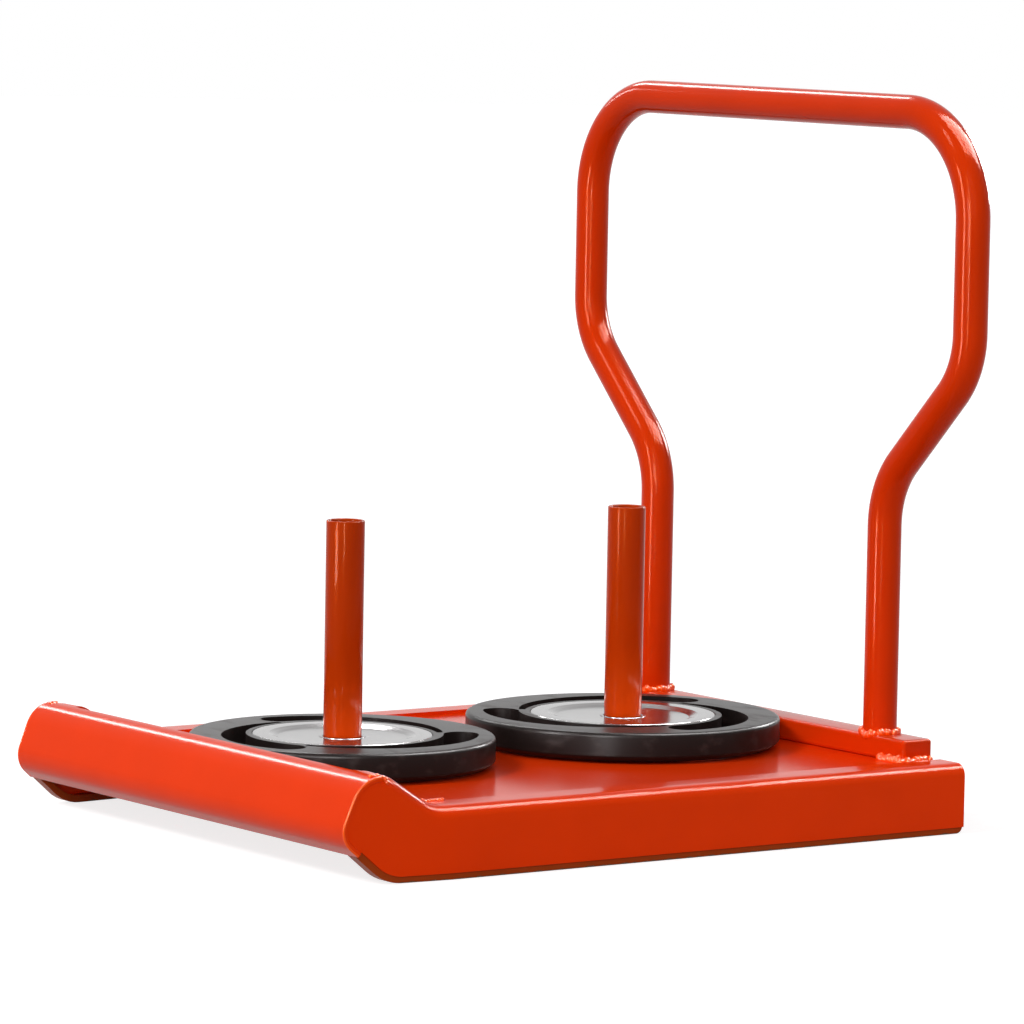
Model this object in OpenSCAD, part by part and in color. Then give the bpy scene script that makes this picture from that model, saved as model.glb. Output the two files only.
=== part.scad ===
// Weight sled: a plate-loaded push sled with a raised rolled nose, two posts and a tall bent handle.
// The nose points along +X, the left side is +Y, and the floor is at Z = 0.

/* [Base] */
// Overall length from the rear edge to the front of the nose
base_length = 960; // [940:1:1100]
// Overall width across the side walls
base_width = 804; // [740:1:900]
// Height of the rails' tops above the floor
rail_height = 91; // [84:1:120]
// Thickness of the deck plate and of the side members
plate_t = 5; // [4:0.5:8]
// Width of each rail's top flange
flange_width = 52; // [40:1:70]
// Outer radius of the edge between flange and wall
edge_radius = 16; // [10:1:20]
// Depth of the deck's folded rear edge
rear_fold = 40; // [20:1:55]
// Outer radius of the rear fold
fold_radius = 9; // [6:1:15]

/* [Nose] */
// Height of the ridge above the floor
nose_height = 134; // [125:1:150]
// Thickness of the nose sheet
nose_t = 6; // [4:0.5:8]
// Outer radius of the ridge
ridge_radius = 42; // [36:1:50]
// Steepness of the front face, in degrees below horizontal
face_angle = 68; // [60:1:75]
// Length of the flat front face
face_length = 31; // [20:1:40]
// Outer radius of the bend under the face
lip_radius = 30; // [22:1:40]
// Slope of the face that turns under, in degrees
under_angle = 40.4; // [35:0.1:45]
// Length of the face that turns under
under_length = 14; // [8:1:20]
// Steepness of the rails' rise to the ridge, in degrees
rise_angle = 34; // [28:1:38]
// Radius at the foot of the rise
rise_radius = 60; // [50:1:80]
// How far each cheek turns in, in degrees
toe_in = 5.5; // [3:0.5:8]
// Outer radius of the bend from wall to cheek, seen from above
toe_radius = 170; // [120:1:220]
// Length of level rail between that bend and the rise
toe_gap = 2; // [1:1:10]
// How far the nose sheet stands out from the cheek
cheek_reveal = 1.5; // [0.5:0.5:3]
// How far the nose sheet reaches back past the ridge over each flange's end, in degrees
ridge_lap = 9; // [8:1:12]

/* [Skids] */
// Height of the skid bar
skid_height = 9.5; // [7:0.5:14]
// Width of the skid bar
skid_width = 18; // [14:1:25]
// Distance from the wall's outer face to the skid
skid_inset = 3; // [1:0.5:4]
// Radius of the skid's bend, on its underside
skid_radius = 60; // [40:1:80]
// Gap between the skid's end and the nose sheet's edge
skid_end_gap = 0.5; // [0.2:0.1:1]
// Leg of the welds between skid and wall
skid_weld = 6; // [3:0.5:8]
// Length of each of those welds
skid_weld_length = 45; // [20:1:80]
// Number of those welds on each side
skid_weld_count = 6; // [3:1:10]

/* [Posts] */
// Radius of the post's free upper length
post_radius = 25; // [24:0.1:25.2]
// How much the foot's radius is turned down where a plate rests
foot_relief = 0.3; // [0.3:0.05:0.6]
// Wall of the post's tube
post_wall = 4; // [3:0.5:6]
// Height of the post's top above the floor
post_top = 403; // [300:1:500]
// How far the post reaches below the deck
post_below = 22; // [10:1:30]
// Radial clearance of the holes that the posts pass through
post_hole_clearance = 0.3; // [0.1:0.05:0.5]
// Leg of the weld under each post's foot
post_weld_leg = 6; // [4:0.5:8]

/* [Channels under the deck] */
// Width of each channel
channel_width = 70; // [60:1:90]
// Height of each channel
channel_height = 38; // [30:1:45]
// Wall of each channel
channel_wall = 4; // [3:0.5:6]

/* [Crossbar] */
// Width of the crossbar along the sled
crossbar_depth = 48; // [44:1:60]
// Height of the crossbar
crossbar_height = 30; // [25:1:40]
// Gap between each of the crossbar's ends and the rail's flange
crossbar_gap = 17; // [10:1:60]
// Wall of the crossbar's tube
crossbar_wall = 3; // [2:0.5:4]
// Outer corner radius of the crossbar
crossbar_corner = 5; // [4:0.5:7]
// Size of the weld along the crossbar's ends
crossbar_weld_size = 8; // [5:0.5:9]
// Length of the weld along the crossbar's front edge
crossbar_weld_run = 50; // [20:1:80]

/* [Handle] */
// Outside diameter of the handle's tube
handle_od = 45; // [38:0.5:47]
// Wall of the handle's tube
handle_wall = 3; // [2:0.5:5]
// Half the distance between the lower legs' centre lines
handle_lower = 252; // [220:1:270]
// Half the distance between the upper legs' centre lines
handle_upper = 419; // [380:1:450]
// Height at which the legs turn outward
knee_low = 441; // [400:1:470]
// Height at which the legs turn upright again
knee_high = 606; // [590:1:680]
// Height of the top bar's centre line
handle_top = 934; // [880:1:1000]
// Centre line radius of the lower bends
knee_low_radius = 120; // [80:1:140]
// Centre line radius of the upper bends
knee_high_radius = 114; // [80:1:130]
// Centre line radius of the top corners
handle_corner = 137; // [100:1:160]
// Width of the weld around each foot
handle_weld_width = 3.5; // [3:0.5:7]
// Height of the weld around each foot
handle_weld_height = 9; // [7:0.5:14]

/* [Weight plates] */
// Gap between the two plates, which fill the rest of the deck's length
plate_gap = 39; // [15:1:120]
// How much larger the rear plate's radius is than the front one's
plate_step = 11; // [0:1:25]
// Thickness of a plate's rubber body
body_height = 38; // [30:1:50]
// Gap under the rubber body
body_lift = 3; // [2:0.5:6]
// Gap between a plate's steel disc and the deck
disc_lift = 0.2; // [0.1:0.1:0.5]
// Radius of the rubber body's edges
body_edge = 6; // [4:0.5:10]
// Steel disc's radius as a share of the plate's radius
disc_share = 0.59; // [0.55:0.01:0.61]
// Depth of the dished centre of the steel disc
dish_depth = 4; // [2:0.5:6]
// Radius of a plate's bore
bore_radius = 25.5; // [25.4:0.1:26]
// Radial thickness of the steel bush
bush_wall = 5; // [3:0.5:8]
// Clearance between the front plate and the nose sheet's rear edge
nose_clearance = 3.3; // [2:0.1:10]
// Clearance between the rear plate and the crossbar
crossbar_clearance = 3; // [2:0.1:10]
// How far round a plate each grip reaches, in degrees
grip_sweep = 114; // [90:1:115]
// Direction of the front plate's first grip
front_grip_turn = 150; // [0:1:360]
// Direction of the rear plate's first grip
rear_grip_turn = 325; // [0:1:360]

/* [Hidden] */
$fn = 64;
// How far a straight length runs into the bend at its end, inside one piece.
lap = 0.3;
// How much thinner the one is than the other there, on each face.
shave = 0.01;
// Width of the hairline between a curved length and the next one, which a core of the same piece bridges.
hairline = 0.02;
// How far the core lies under the surface.
core_depth = 0.7;
rear_x = -base_length / 2;
half_width = base_width / 2;
deck_top = rail_height - plate_t;
deck_bottom = deck_top - plate_t;
corner_z = rail_height - edge_radius;
corner_inner = edge_radius - plate_t;

// The nose sheet's outer line: ridge arc, face, lip arc, underface.
face_turn = 90 - face_angle;
under_turn = under_angle - 90;
lip_x = base_length / 2 - lip_radius;
ridge_z = nose_height - ridge_radius;
ridge_x = lip_x + (lip_radius - ridge_radius) * cos(face_turn) - face_length * cos(face_angle);
lip_z = ridge_z + (ridge_radius - lip_radius) * sin(face_turn) - face_length * sin(face_angle);
lip_end_x = lip_x + lip_radius * cos(under_turn);
lip_end_z = lip_z + lip_radius * sin(under_turn);
ground_x = lip_end_x - lip_end_z / tan(under_angle);
edge_along = lip_end_z / sin(under_angle) - under_length;

// The rise from the level rail to the ridge, along the cheek's own direction.
rise_drop = nose_height - rail_height - (ridge_radius + rise_radius) * (1 - cos(rise_angle));
rise_length = rise_drop / sin(rise_angle);
ridge_u = toe_gap + (rise_radius + ridge_radius) * sin(rise_angle) + rise_length * cos(rise_angle);
rise_u = toe_gap;
rise_z = rail_height + rise_radius;

// The bend from wall to cheek, seen from above.
toe_x = round(100 * (ridge_x - ridge_u * cos(toe_in) - toe_radius * sin(toe_in))) / 100;
toe_y = half_width - toe_radius;
cheek_end = base_length / 2 - toe_x + 40;

// The skid's bend.
skid_tangent = skid_radius * tan(under_angle / 2);
skid_bend_x = ground_x - skid_tangent;
skid_end = edge_along - skid_end_gap;

// Crossbar, handle and posts.
crossbar_front = rear_x + crossbar_depth;
crossbar_x = rear_x + crossbar_depth / 2;
crossbar_top = deck_top + crossbar_height;
crossbar_half = half_width - flange_width - crossbar_gap;
handle_r = handle_od / 2;
lean = atan2(handle_upper - handle_lower, knee_high - knee_low);
plate_room = ridge_x - nose_clearance - crossbar_front - crossbar_clearance - plate_gap;
front_radius = round(10 * (plate_room / 2 - plate_step) / 2) / 10;
rear_radius = front_radius + plate_step;
post_front_x = ridge_x - nose_clearance - front_radius;
post_rear_x = crossbar_front + crossbar_clearance + rear_radius;
foot_radius = post_radius - foot_relief;
body_bottom = deck_top + body_lift;
body_top = body_bottom + body_height;
foot_top = body_top + 5;
post_bottom = deck_bottom - post_below;
channel_reach = half_width - edge_radius + sqrt(pow(corner_inner, 2) - pow(max(0, deck_bottom - corner_z), 2)) - 0.4;

// Stretches a shape drawn in X and Z along Y.
module along_y(y0, y1) {
    translate([0, y1, 0])
        rotate([90, 0, 0])
            linear_extrude(y1 - y0)
                children();
}

// Stretches a shape drawn in Y and Z along X.
module along_x(x0, x1) {
    translate([x0, 0, 0])
        rotate([90, 0, 90])
            linear_extrude(x1 - x0)
                children();
}

// Turns a shape drawn as radius and depth about a line along Y; depth runs from y1 towards -Y.
module round_y(x, y1, z, from, to) {
    translate([x, y1, z])
        rotate([90, 0, 0])
            rotate([0, 0, from])
                rotate_extrude(angle = to - from)
                    children();
}

// A ring sector about a line along Y, from y0 to y1.
module sector_y(x, z, inner, outer, from, to, y0, y1) {
    round_y(x, y1, z, from, to)
        translate([inner, 0])
            square([outer - inner, y1 - y0]);
}

// The cheek's own directions: X along the cheek, Y outward, with the outer face at Y = toe_radius.
module cheek_frame() {
    translate([toe_x, toe_y, 0])
        rotate([0, 0, -toe_in])
            children();
}

// Turns a shape into the cheek's own directions.
module into_cheek_frame() {
    rotate([0, 0, toe_in])
        translate([-toe_x, -toe_y, 0])
            children();
}

// The point at a distance and direction from a centre.
function polar(centre, radius, angle) = centre + radius * [cos(angle), sin(angle)];

// A quarter of a ring that opens away from the axes.
module quarter_ring(inner, outer) {
    intersection() {
        difference() {
            circle(outer);
            circle(inner);
        }
        square(outer + 1);
    }
}

// A quarter of a disc.
module quarter_disc(radius) {
    intersection() {
        circle(radius);
        square(radius + 1);
    }
}

// The level rail's section, with the wall's outer face at the given distance and its foot on the skid.
module rail_section(outer) {
    translate([outer - flange_width, rail_height - plate_t])
        square([flange_width - edge_radius, plate_t]);
    translate([outer - edge_radius, corner_z])
        quarter_ring(corner_inner, edge_radius);
    translate([outer - plate_t, skid_height])
        square([plate_t, corner_z - skid_height]);
}

// The flange and rounded edge as radius and depth, with the top face at the given radius.
module rise_section(top, side) {
    start = side > 0 ? top - plate_t : top;
    translate([start, edge_radius])
        square([plate_t, flange_width - edge_radius]);
    translate([top - side * edge_radius, edge_radius])
        mirror([side > 0 ? 0 : 1, 0])
            mirror([0, 1])
                quarter_ring(corner_inner, edge_radius);
}

// The flange and rounded edge where the rail rises to the ridge.
module rising_edge() {
    round_y(rise_u, toe_radius, rise_z, 270, 270 + rise_angle)
        rise_section(rise_radius, -1);
    round_y(ridge_u, toe_radius, ridge_z, 90, 90 + rise_angle)
        rise_section(ridge_radius, 1);
    translate([rise_u, 0, rise_z])
        rotate([0, -rise_angle, 0])
            translate([0, 0, -rise_radius - rail_height])
                bridged_length(hairline, rise_length - hairline);
    bridged_length(hairline, rise_u);
}

// A straight length of flange and rounded edge, with a core that reaches into its neighbours.
module bridged_length(u0, u1) {
    along_x(u0, u1)
        upper_section(0);
    along_x(u0 - 1, u1 + 1)
        upper_section(core_depth);
}

// The flange and rounded edge, seen along the rail.
module upper_section(inset) {
    translate([toe_radius - flange_width + inset, rail_height - plate_t + inset])
        square([flange_width - edge_radius - inset, plate_t - 2 * inset]);
    translate([toe_radius - edge_radius, corner_z])
        quarter_ring(corner_inner + inset, edge_radius - inset);
}

// The flat wall under the rise. Its upper outline follows the rounded edge and runs a little into it.
module rising_wall() {
    foot = [rise_u, rise_z];
    crest = [ridge_u, ridge_z];
    low = rise_radius + edge_radius - lap / 2;
    high = ridge_radius - edge_radius + lap / 2;
    steps = 6;
    along_y(toe_radius - plate_t + 2 * shave, toe_radius - 2 * shave)
        polygon(concat([[-lap, 0], [ridge_u + lap, 0], [ridge_u + lap, ridge_z + high]],
                       [for (i = [0 : steps]) polar(crest, high, 90 + rise_angle * i / steps)],
                       [for (i = [0 : steps]) polar(foot, low, 270 + rise_angle * (1 - i / steps))],
                       [[-lap, corner_z + lap / 2]]));
}

// The space inside the nose sheet, drawn across the sled.
module nose_inside(y0, y1) {
    crest = [ridge_x, ridge_z];
    lip = [lip_x, lip_z];
    crest_r = ridge_radius - nose_t;
    lip_r = lip_radius - nose_t;
    edge = [ground_x + edge_along * cos(under_angle), edge_along * sin(under_angle)];
    back = ridge_x - 20;
    along_y(y0, y1)
        polygon([[back, ridge_z + 10], [ridge_x, ridge_z + 10], polar(crest, crest_r - shave, face_turn + 0.5),
                 polar(lip, lip_r - shave, face_turn - 0.5), polar(lip, lip_r - shave, under_turn + 0.5),
                 edge + (nose_t + shave) * [-sin(under_angle), cos(under_angle)], edge,
                 [back, (back - ground_x) * tan(under_angle)]]);
    sector_y(ridge_x, ridge_z, 0, crest_r, face_turn, 180, y0, y1);
    sector_y(lip_x, lip_z, 0, lip_r, under_turn, face_turn, y0, y1);
}

// The flat cheek that closes the nose's end, in the cheek's own directions.
module cheek_plate() {
    intersection() {
        into_cheek_frame()
            nose_inside(half_width - 60, half_width);
        translate([ridge_u, toe_radius - plate_t, 0])
            cube([cheek_end, plate_t, nose_height]);
    }
}

// Everything from the floor up to the skid's upper face, drawn across the sled.
module skid_space(y0, y1) {
    along_y(y0, y1)
        translate([toe_x - 60, -1])
            square([skid_bend_x - toe_x + 60 + lap, skid_height + 1 + shave]);
    sector_y(skid_bend_x, skid_radius, skid_radius - skid_height, skid_radius + 30,
             270, 270 + under_angle, y0, y1);
    translate([ground_x, 0, 0])
        rotate([0, -under_angle, 0])
            translate([skid_tangent - lap, y0, -40])
                cube([skid_end - skid_tangent + lap, y1 - y0, skid_height + shave + 40]);
}

// A rail's level length and its bend, seen from above, into the cheek.
module level_rail() {
    along_x(rear_x, toe_x)
        rail_section(half_width);
    translate([toe_x, toe_y, 0])
        rotate([0, 0, 90])
            rotate_extrude(angle = -toe_in)
                rail_section(toe_radius);
}

// The rise to the ridge with its wall and the cheek, seated on the skid.
module rail_front() {
    cheek_frame()
        difference() {
            union() {
                rising_edge();
                rising_wall();
                cheek_plate();
            }
            into_cheek_frame()
                skid_space(half_width - 60, half_width + 20);
        }
}

module side_member_left() {
    color([0.93, 0.27, 0.02]) {
        level_rail();
        rail_front();
    }
}

module side_member_right() {
    mirror([0, 1, 0])
        side_member_left();
}

// The nose sheet's full section, reaching back past the ridge.
module nose_section(y0, y1) {
    sector_y(ridge_x, ridge_z, ridge_radius - nose_t, ridge_radius, face_turn, 90 + ridge_lap, y0, y1);
    translate([ridge_x, 0, ridge_z])
        rotate([0, face_angle, 0])
            translate([-lap, y0, ridge_radius - nose_t + shave])
                cube([face_length + 2 * lap, y1 - y0, nose_t - 2 * shave]);
    sector_y(lip_x, lip_z, lip_radius - nose_t, lip_radius, under_turn, face_turn, y0, y1);
    translate([ground_x, 0, 0])
        rotate([0, -under_angle, 0])
            translate([edge_along, y0, shave])
                cube([under_length + lap, y1 - y0, nose_t - 2 * shave]);
}

// What is cut off one end of the nose sheet.
module nose_trim() {
    cheek_frame() {
        translate([-80, toe_radius + cheek_reveal, -1])
            cube([cheek_end + 80, 80, nose_height + 2]);
        translate([-80, toe_radius - flange_width, -1])
            cube([ridge_u + 80, 120, nose_height + 2]);
    }
}

module nose_sheet() {
    inner = half_width - flange_width - 20;
    color([0.95, 0.29, 0.02])
        difference() {
            nose_section(-half_width, half_width);
            translate([ridge_x - 30, -inner, ridge_z])
                cube([30, 2 * inner, 60]);
            nose_trim();
            mirror([0, 1, 0])
                nose_trim();
        }
}

module deck_plate() {
    side = edge_radius + 0.5;
    front_x = ridge_x + ridge_radius * cos(face_turn) + (ridge_z + ridge_radius * sin(face_turn) - deck_top)
              / tan(face_angle) - nose_t / cos(face_turn) - 0.3;
    straight = half_width - side;
    bend_y = toe_y + (toe_radius - side) * cos(toe_in);
    bend_x = toe_x + (toe_radius - side) * sin(toe_in);
    front_y = bend_y - (front_x - bend_x) * tan(toe_in);
    color([0.96, 0.30, 0.03])
        difference() {
            union() {
                translate([0, 0, deck_bottom])
                    linear_extrude(plate_t)
                        polygon([[rear_x + fold_radius, -straight], [toe_x, -straight], [bend_x, -bend_y],
                                 [front_x, -front_y], [front_x, front_y], [bend_x, bend_y],
                                 [toe_x, straight], [rear_x + fold_radius, straight]]);
                sector_y(rear_x + fold_radius, deck_top - fold_radius, fold_radius - plate_t, fold_radius,
                         90, 180, -straight, straight);
                translate([rear_x, -straight, deck_top - rear_fold])
                    cube([plate_t, 2 * straight, rear_fold - fold_radius]);
            }
            for (x = [post_front_x, post_rear_x])
                translate([x, 0, deck_bottom - 1])
                    cylinder(h = plate_t + 2, r = foot_radius + post_hole_clearance);
        }
}

// A skid with its end turned up under the nose.
module skid_left() {
    outer = toe_radius - skid_inset;
    color([0.60, 0.20, 0.05]) {
        along_y(half_width - skid_inset - skid_width, half_width - skid_inset) {
            polygon([[rear_x + skid_height, 0], [toe_x, 0], [toe_x, skid_height], [rear_x, skid_height],
                     [rear_x + skid_height, skid_height]]);
            translate([rear_x + skid_height, skid_height])
                rotate(180)
                    quarter_disc(skid_height);
        }
        translate([toe_x, toe_y, 0])
            rotate([0, 0, 90])
                rotate_extrude(angle = -toe_in)
                    translate([outer - skid_width, 0])
                        square([skid_width, skid_height]);
        cheek_frame()
            intersection() {
                translate([-lap, outer - skid_width + shave, 0])
                    cube([cheek_end, skid_width - 2 * shave, nose_height]);
                into_cheek_frame()
                    skid_bar(half_width - 80, half_width + 10);
            }
    }
}

module skid_right() {
    mirror([0, 1, 0])
        skid_left();
}

// The skid bar's front length, drawn across the sled.
module skid_bar(y0, y1) {
    turn = asin(lap / skid_radius);
    along_y(y0, y1)
        translate([toe_x - 30, 0])
            square([skid_bend_x - toe_x + 30, skid_height]);
    sector_y(skid_bend_x, skid_radius, skid_radius - skid_height + shave, skid_radius - shave,
             270 - turn, 270 + under_angle + turn, y0, y1);
    translate([ground_x, 0, 0])
        rotate([0, -under_angle, 0])
            translate([skid_tangent, y0, 0])
                cube([skid_end - skid_tangent, y1 - y0, skid_height]);
}

// Short welds in the corner between the skid and the wall.
module skid_welds_left() {
    first = rear_x + 40;
    step = (toe_x - 20 - skid_weld_length - first) / (skid_weld_count - 1);
    color([0.75, 0.30, 0.08])
        for (i = [0 : skid_weld_count - 1])
            along_x(first + i * step, first + i * step + skid_weld_length)
                translate([half_width - plate_t, skid_height])
                    polygon([[0, 0], [0, skid_weld], [-skid_weld, 0]]);
}

module skid_welds_right() {
    mirror([0, 1, 0])
        skid_welds_left();
}

// A channel under the deck, with a hole for a post.
module cross_member(x) {
    color([0.80, 0.26, 0.04])
        difference() {
            translate([x - channel_width / 2, -channel_reach, deck_bottom - channel_height])
                cube([channel_width, 2 * channel_reach, channel_height]);
            translate([x - channel_width / 2 + channel_wall, -channel_reach - 1, deck_bottom - channel_height - 1])
                cube([channel_width - 2 * channel_wall, 2 * channel_reach + 2, channel_height - channel_wall + 1]);
            translate([x, 0, deck_bottom - channel_wall - 1])
                cylinder(h = channel_wall + 2, r = foot_radius + post_hole_clearance);
        }
}

module cross_member_front() {
    cross_member(post_front_x);
}

module cross_member_rear() {
    cross_member(post_rear_x);
}

// The crossbar's outline, drawn in X and Z.
module crossbar_outline(inset) {
    w = crossbar_depth / 2 - inset;
    h = crossbar_height / 2 - inset;
    r = crossbar_corner - inset;
    square([2 * w, 2 * (h - r)], center = true);
    square([2 * (w - r), 2 * h], center = true);
    for (x = [-1, 1])
        for (z = [-1, 1])
            translate([x * (w - r), z * (h - r)])
                circle(r);
}

module crossbar_solid(y0, y1, inset) {
    translate([crossbar_x, 0, deck_top + crossbar_height / 2])
        along_y(y0, y1)
            crossbar_outline(inset);
}

module crossbar() {
    tube_half = crossbar_half - crossbar_wall;
    color([0.85, 0.24, 0.02])
        difference() {
            crossbar_solid(-tube_half, tube_half, 0);
            crossbar_solid(-tube_half - 1, tube_half + 1, crossbar_wall);
        }
}

module crossbar_cap_left() {
    color([0.90, 0.26, 0.02])
        crossbar_solid(crossbar_half - crossbar_wall, crossbar_half, 0);
}

module crossbar_cap_right() {
    mirror([0, 1, 0])
        crossbar_cap_left();
}

// The weld at one end of the crossbar and a short way along its front edge.
module crossbar_weld_left() {
    s = crossbar_weld_size;
    color([1.0, 0.38, 0.08])
        difference() {
            union() {
                along_x(rear_x + 6, crossbar_front)
                    translate([crossbar_half, deck_top])
                        quarter_disc(s);
                along_y(crossbar_half - crossbar_weld_run, crossbar_half)
                    translate([crossbar_front - crossbar_corner, deck_top])
                        quarter_disc(s);
                intersection() {
                    translate([crossbar_front, crossbar_half, deck_top])
                        rotate_extrude()
                            quarter_disc(s);
                    translate([crossbar_front - crossbar_corner, crossbar_half, deck_top])
                        cube([s + crossbar_corner + 1, s + 1, s + 1]);
                }
            }
            crossbar_solid(crossbar_half - crossbar_weld_run - 5, crossbar_half, 0);
        }
}

module crossbar_weld_right() {
    mirror([0, 1, 0])
        crossbar_weld_left();
}

// One side of the handle's run, drawn in its own plane as a solid rod.
module handle_half(r, foot) {
    low_step = knee_low_radius * tan(lean / 2);
    high_step = knee_high_radius * tan(lean / 2);
    slant = (knee_high - knee_low) / cos(lean) - low_step - high_step;
    low = round(100 * (knee_low - low_step)) / 100;
    high = round(100 * (knee_high + high_step)) / 100;
    translate([handle_lower, low, 0])
        rotate([90, 0, 0])
            cylinder(h = low - foot, r = r);
    translate([handle_lower + knee_low_radius, low, 0])
        rotate([0, 0, 180])
            rotate_extrude(angle = -lean)
                translate([knee_low_radius, 0])
                    circle(r);
    translate([handle_lower, knee_low, 0])
        rotate([0, 0, -lean])
            translate([0, low_step, 0]) {
                translate([0, hairline, 0])
                    rotate([-90, 0, 0])
                        cylinder(h = slant - 2 * hairline, r = r);
                translate([0, -1, 0])
                    rotate([-90, 0, 0])
                        cylinder(h = slant + 2, r = r - core_depth);
            }
    translate([handle_upper - knee_high_radius, high, 0])
        rotate_extrude(angle = -lean)
            translate([knee_high_radius, 0])
                circle(r);
    translate([handle_upper, high, 0])
        rotate([-90, 0, 0])
            cylinder(h = handle_top - handle_corner - high, r = r);
    translate([handle_upper - handle_corner, handle_top - handle_corner, 0])
        rotate_extrude(angle = 90)
            translate([handle_corner, 0])
                circle(r);
}

module handle_run(r, foot) {
    half = handle_upper - handle_corner;
    translate([crossbar_x, 0, 0])
        rotate([90, 0, 90]) {
            handle_half(r, foot);
            mirror([1, 0, 0])
                handle_half(r, foot);
            translate([-half, handle_top, 0])
                rotate([0, 90, 0])
                    cylinder(h = 2 * half, r = r);
        }
}

module handle_tube() {
    foot = crossbar_top - crossbar_corner;
    color([0.93, 0.26, 0.02])
        difference() {
            handle_run(handle_r, foot);
            handle_run(handle_r - handle_wall, foot - 5);
            crossbar_solid(-crossbar_half, crossbar_half, 0);
        }
}

// A bead around one foot of the handle.
module handle_weld_left() {
    w = handle_weld_width;
    h = handle_weld_height;
    color([1.0, 0.38, 0.08])
        difference() {
            translate([crossbar_x, handle_lower, crossbar_top])
                rotate_extrude()
                    polygon([[handle_r, -crossbar_corner], [handle_r + w, -crossbar_corner],
                             [handle_r + w, h * 0.35], [handle_r + w * 0.45, h * 0.8], [handle_r, h]]);
            crossbar_solid(handle_lower - 60, handle_lower + 60, 0);
        }
}

module handle_weld_right() {
    mirror([0, 1, 0])
        handle_weld_left();
}

// A post: an open tube with a rounded rim, turned down a little at its foot.
module post(x) {
    rim = post_wall / 2;
    bore = post_radius - post_wall;
    color([0.74, 0.22, 0.02])
        translate([x, 0, 0])
            rotate_extrude() {
                translate([bore, post_bottom])
                    square([foot_radius - bore, foot_top - post_bottom]);
                translate([bore, foot_top])
                    square([post_wall, post_top - rim - foot_top]);
                translate([bore + rim, post_top - rim])
                    circle(rim);
            }
}

module post_front() {
    post(post_front_x);
}

module post_rear() {
    post(post_rear_x);
}

// A ring weld under the channel at a post's foot.
module post_weld(x) {
    color([0.80, 0.30, 0.08])
        translate([x, 0, deck_bottom - channel_wall])
            rotate_extrude()
                polygon([[foot_radius, 0], [foot_radius + post_weld_leg, 0], [foot_radius, -post_weld_leg]]);
}

module post_weld_front() {
    post_weld(post_front_x);
}

module post_weld_rear() {
    post_weld(post_rear_x);
}

// A weld patch in the notch where the rounded edge meets the nose sheet's end.
module nose_weld_left() {
    bead = 3;
    color([1.0, 0.40, 0.10])
        cheek_frame()
            round_y(ridge_u, toe_radius, ridge_z, 90, 97)
                translate([ridge_radius - edge_radius, edge_radius])
                    mirror([0, 1])
                        difference() {
                            quarter_ring(edge_radius, edge_radius + bead);
                            translate([-1, -1])
                                square([6, edge_radius + bead + 2]);
                        }
}

module nose_weld_right() {
    mirror([0, 1, 0])
        nose_weld_left();
}

// The centre and radius of the circle through three points.
function circle_centre(a, b, c) =
    let (d = 2 * (a[0] * (b[1] - c[1]) + b[0] * (c[1] - a[1]) + c[0] * (a[1] - b[1])))
    [((a * a) * (b[1] - c[1]) + (b * b) * (c[1] - a[1]) + (c * c) * (a[1] - b[1])) / d,
     ((a * a) * (c[0] - b[0]) + (b * b) * (a[0] - c[0]) + (c * c) * (b[0] - a[0])) / d];

// One grip seen from above: a comma that is wide near the rim and sweeps in along the disc.
module grip(radius) {
    half = grip_sweep / 2;
    out0 = radius * polar([0, 0], 0.89, 0);
    out1 = radius * polar([0, 0], 0.79, half);
    out2 = radius * polar([0, 0], 0.665, grip_sweep);
    in0 = radius * polar([0, 0], 0.66, 0);
    in1 = radius * polar([0, 0], 0.63, half);
    in2 = radius * polar([0, 0], 0.625, grip_sweep);
    outer = circle_centre(out0, out1, out2);
    inner = circle_centre(in0, in1, in2);
    end = (out0 + in0) / 2;
    difference() {
        intersection() {
            translate(outer)
                circle(norm(out0 - outer));
            polygon([[0, 0], [2 * radius, 0], 2 * radius * [cos(half), sin(half)],
                     2 * radius * [cos(grip_sweep), sin(grip_sweep)]]);
        }
        translate(inner)
            circle(norm(in0 - inner));
    }
    translate(end)
        circle(norm(out0 - in0) / 2);
}

// The rubber body, with three grips cut right through.
module plate_body(x, radius, turn, hand) {
    disc = radius * disc_share;
    e = body_edge;
    color([0.16, 0.15, 0.15])
        translate([x, 0, body_bottom])
            difference() {
                rotate_extrude() {
                    translate([disc, 0])
                        square([radius - e - disc, body_height]);
                    translate([radius - e, e])
                        square([e, body_height - 2 * e]);
                    translate([radius - e, e])
                        circle(e);
                    translate([radius - e, body_height - e])
                        circle(e);
                }
                translate([0, 0, -1])
                    linear_extrude(body_height + 2)
                        for (k = [0, 120, 240])
                            rotate(turn + k)
                                mirror([0, hand])
                                    grip(radius);
            }
}

// The steel disc, dished around its bush.
module plate_disc(x, radius) {
    disc = radius * disc_share;
    hub = bore_radius + bush_wall;
    top = body_top - deck_top - disc_lift;
    color([0.66, 0.66, 0.67])
        translate([x, 0, deck_top + disc_lift])
            rotate_extrude()
                polygon([[hub, 0], [disc - 3, 0], [disc, 3], [disc, top - 1.5], [disc - 1.5, top],
                         [radius * 0.48, top], [radius * 0.42, top - dish_depth], [hub, top - dish_depth]]);
}

// The steel bush that runs on the post.
module plate_bush(x) {
    top = body_top - dish_depth - deck_top - disc_lift + 0.6;
    color([0.55, 0.55, 0.56])
        translate([x, 0, deck_top + disc_lift])
            difference() {
                cylinder(h = top, r = bore_radius + bush_wall);
                translate([0, 0, -1])
                    cylinder(h = top + 2, r = bore_radius);
            }
}

module plate_front_body() {
    plate_body(post_front_x, front_radius, front_grip_turn, 1);
}

module plate_front_disc() {
    plate_disc(post_front_x, front_radius);
}

module plate_front_bush() {
    plate_bush(post_front_x);
}

module plate_rear_body() {
    plate_body(post_rear_x, rear_radius, rear_grip_turn, 0);
}

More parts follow.
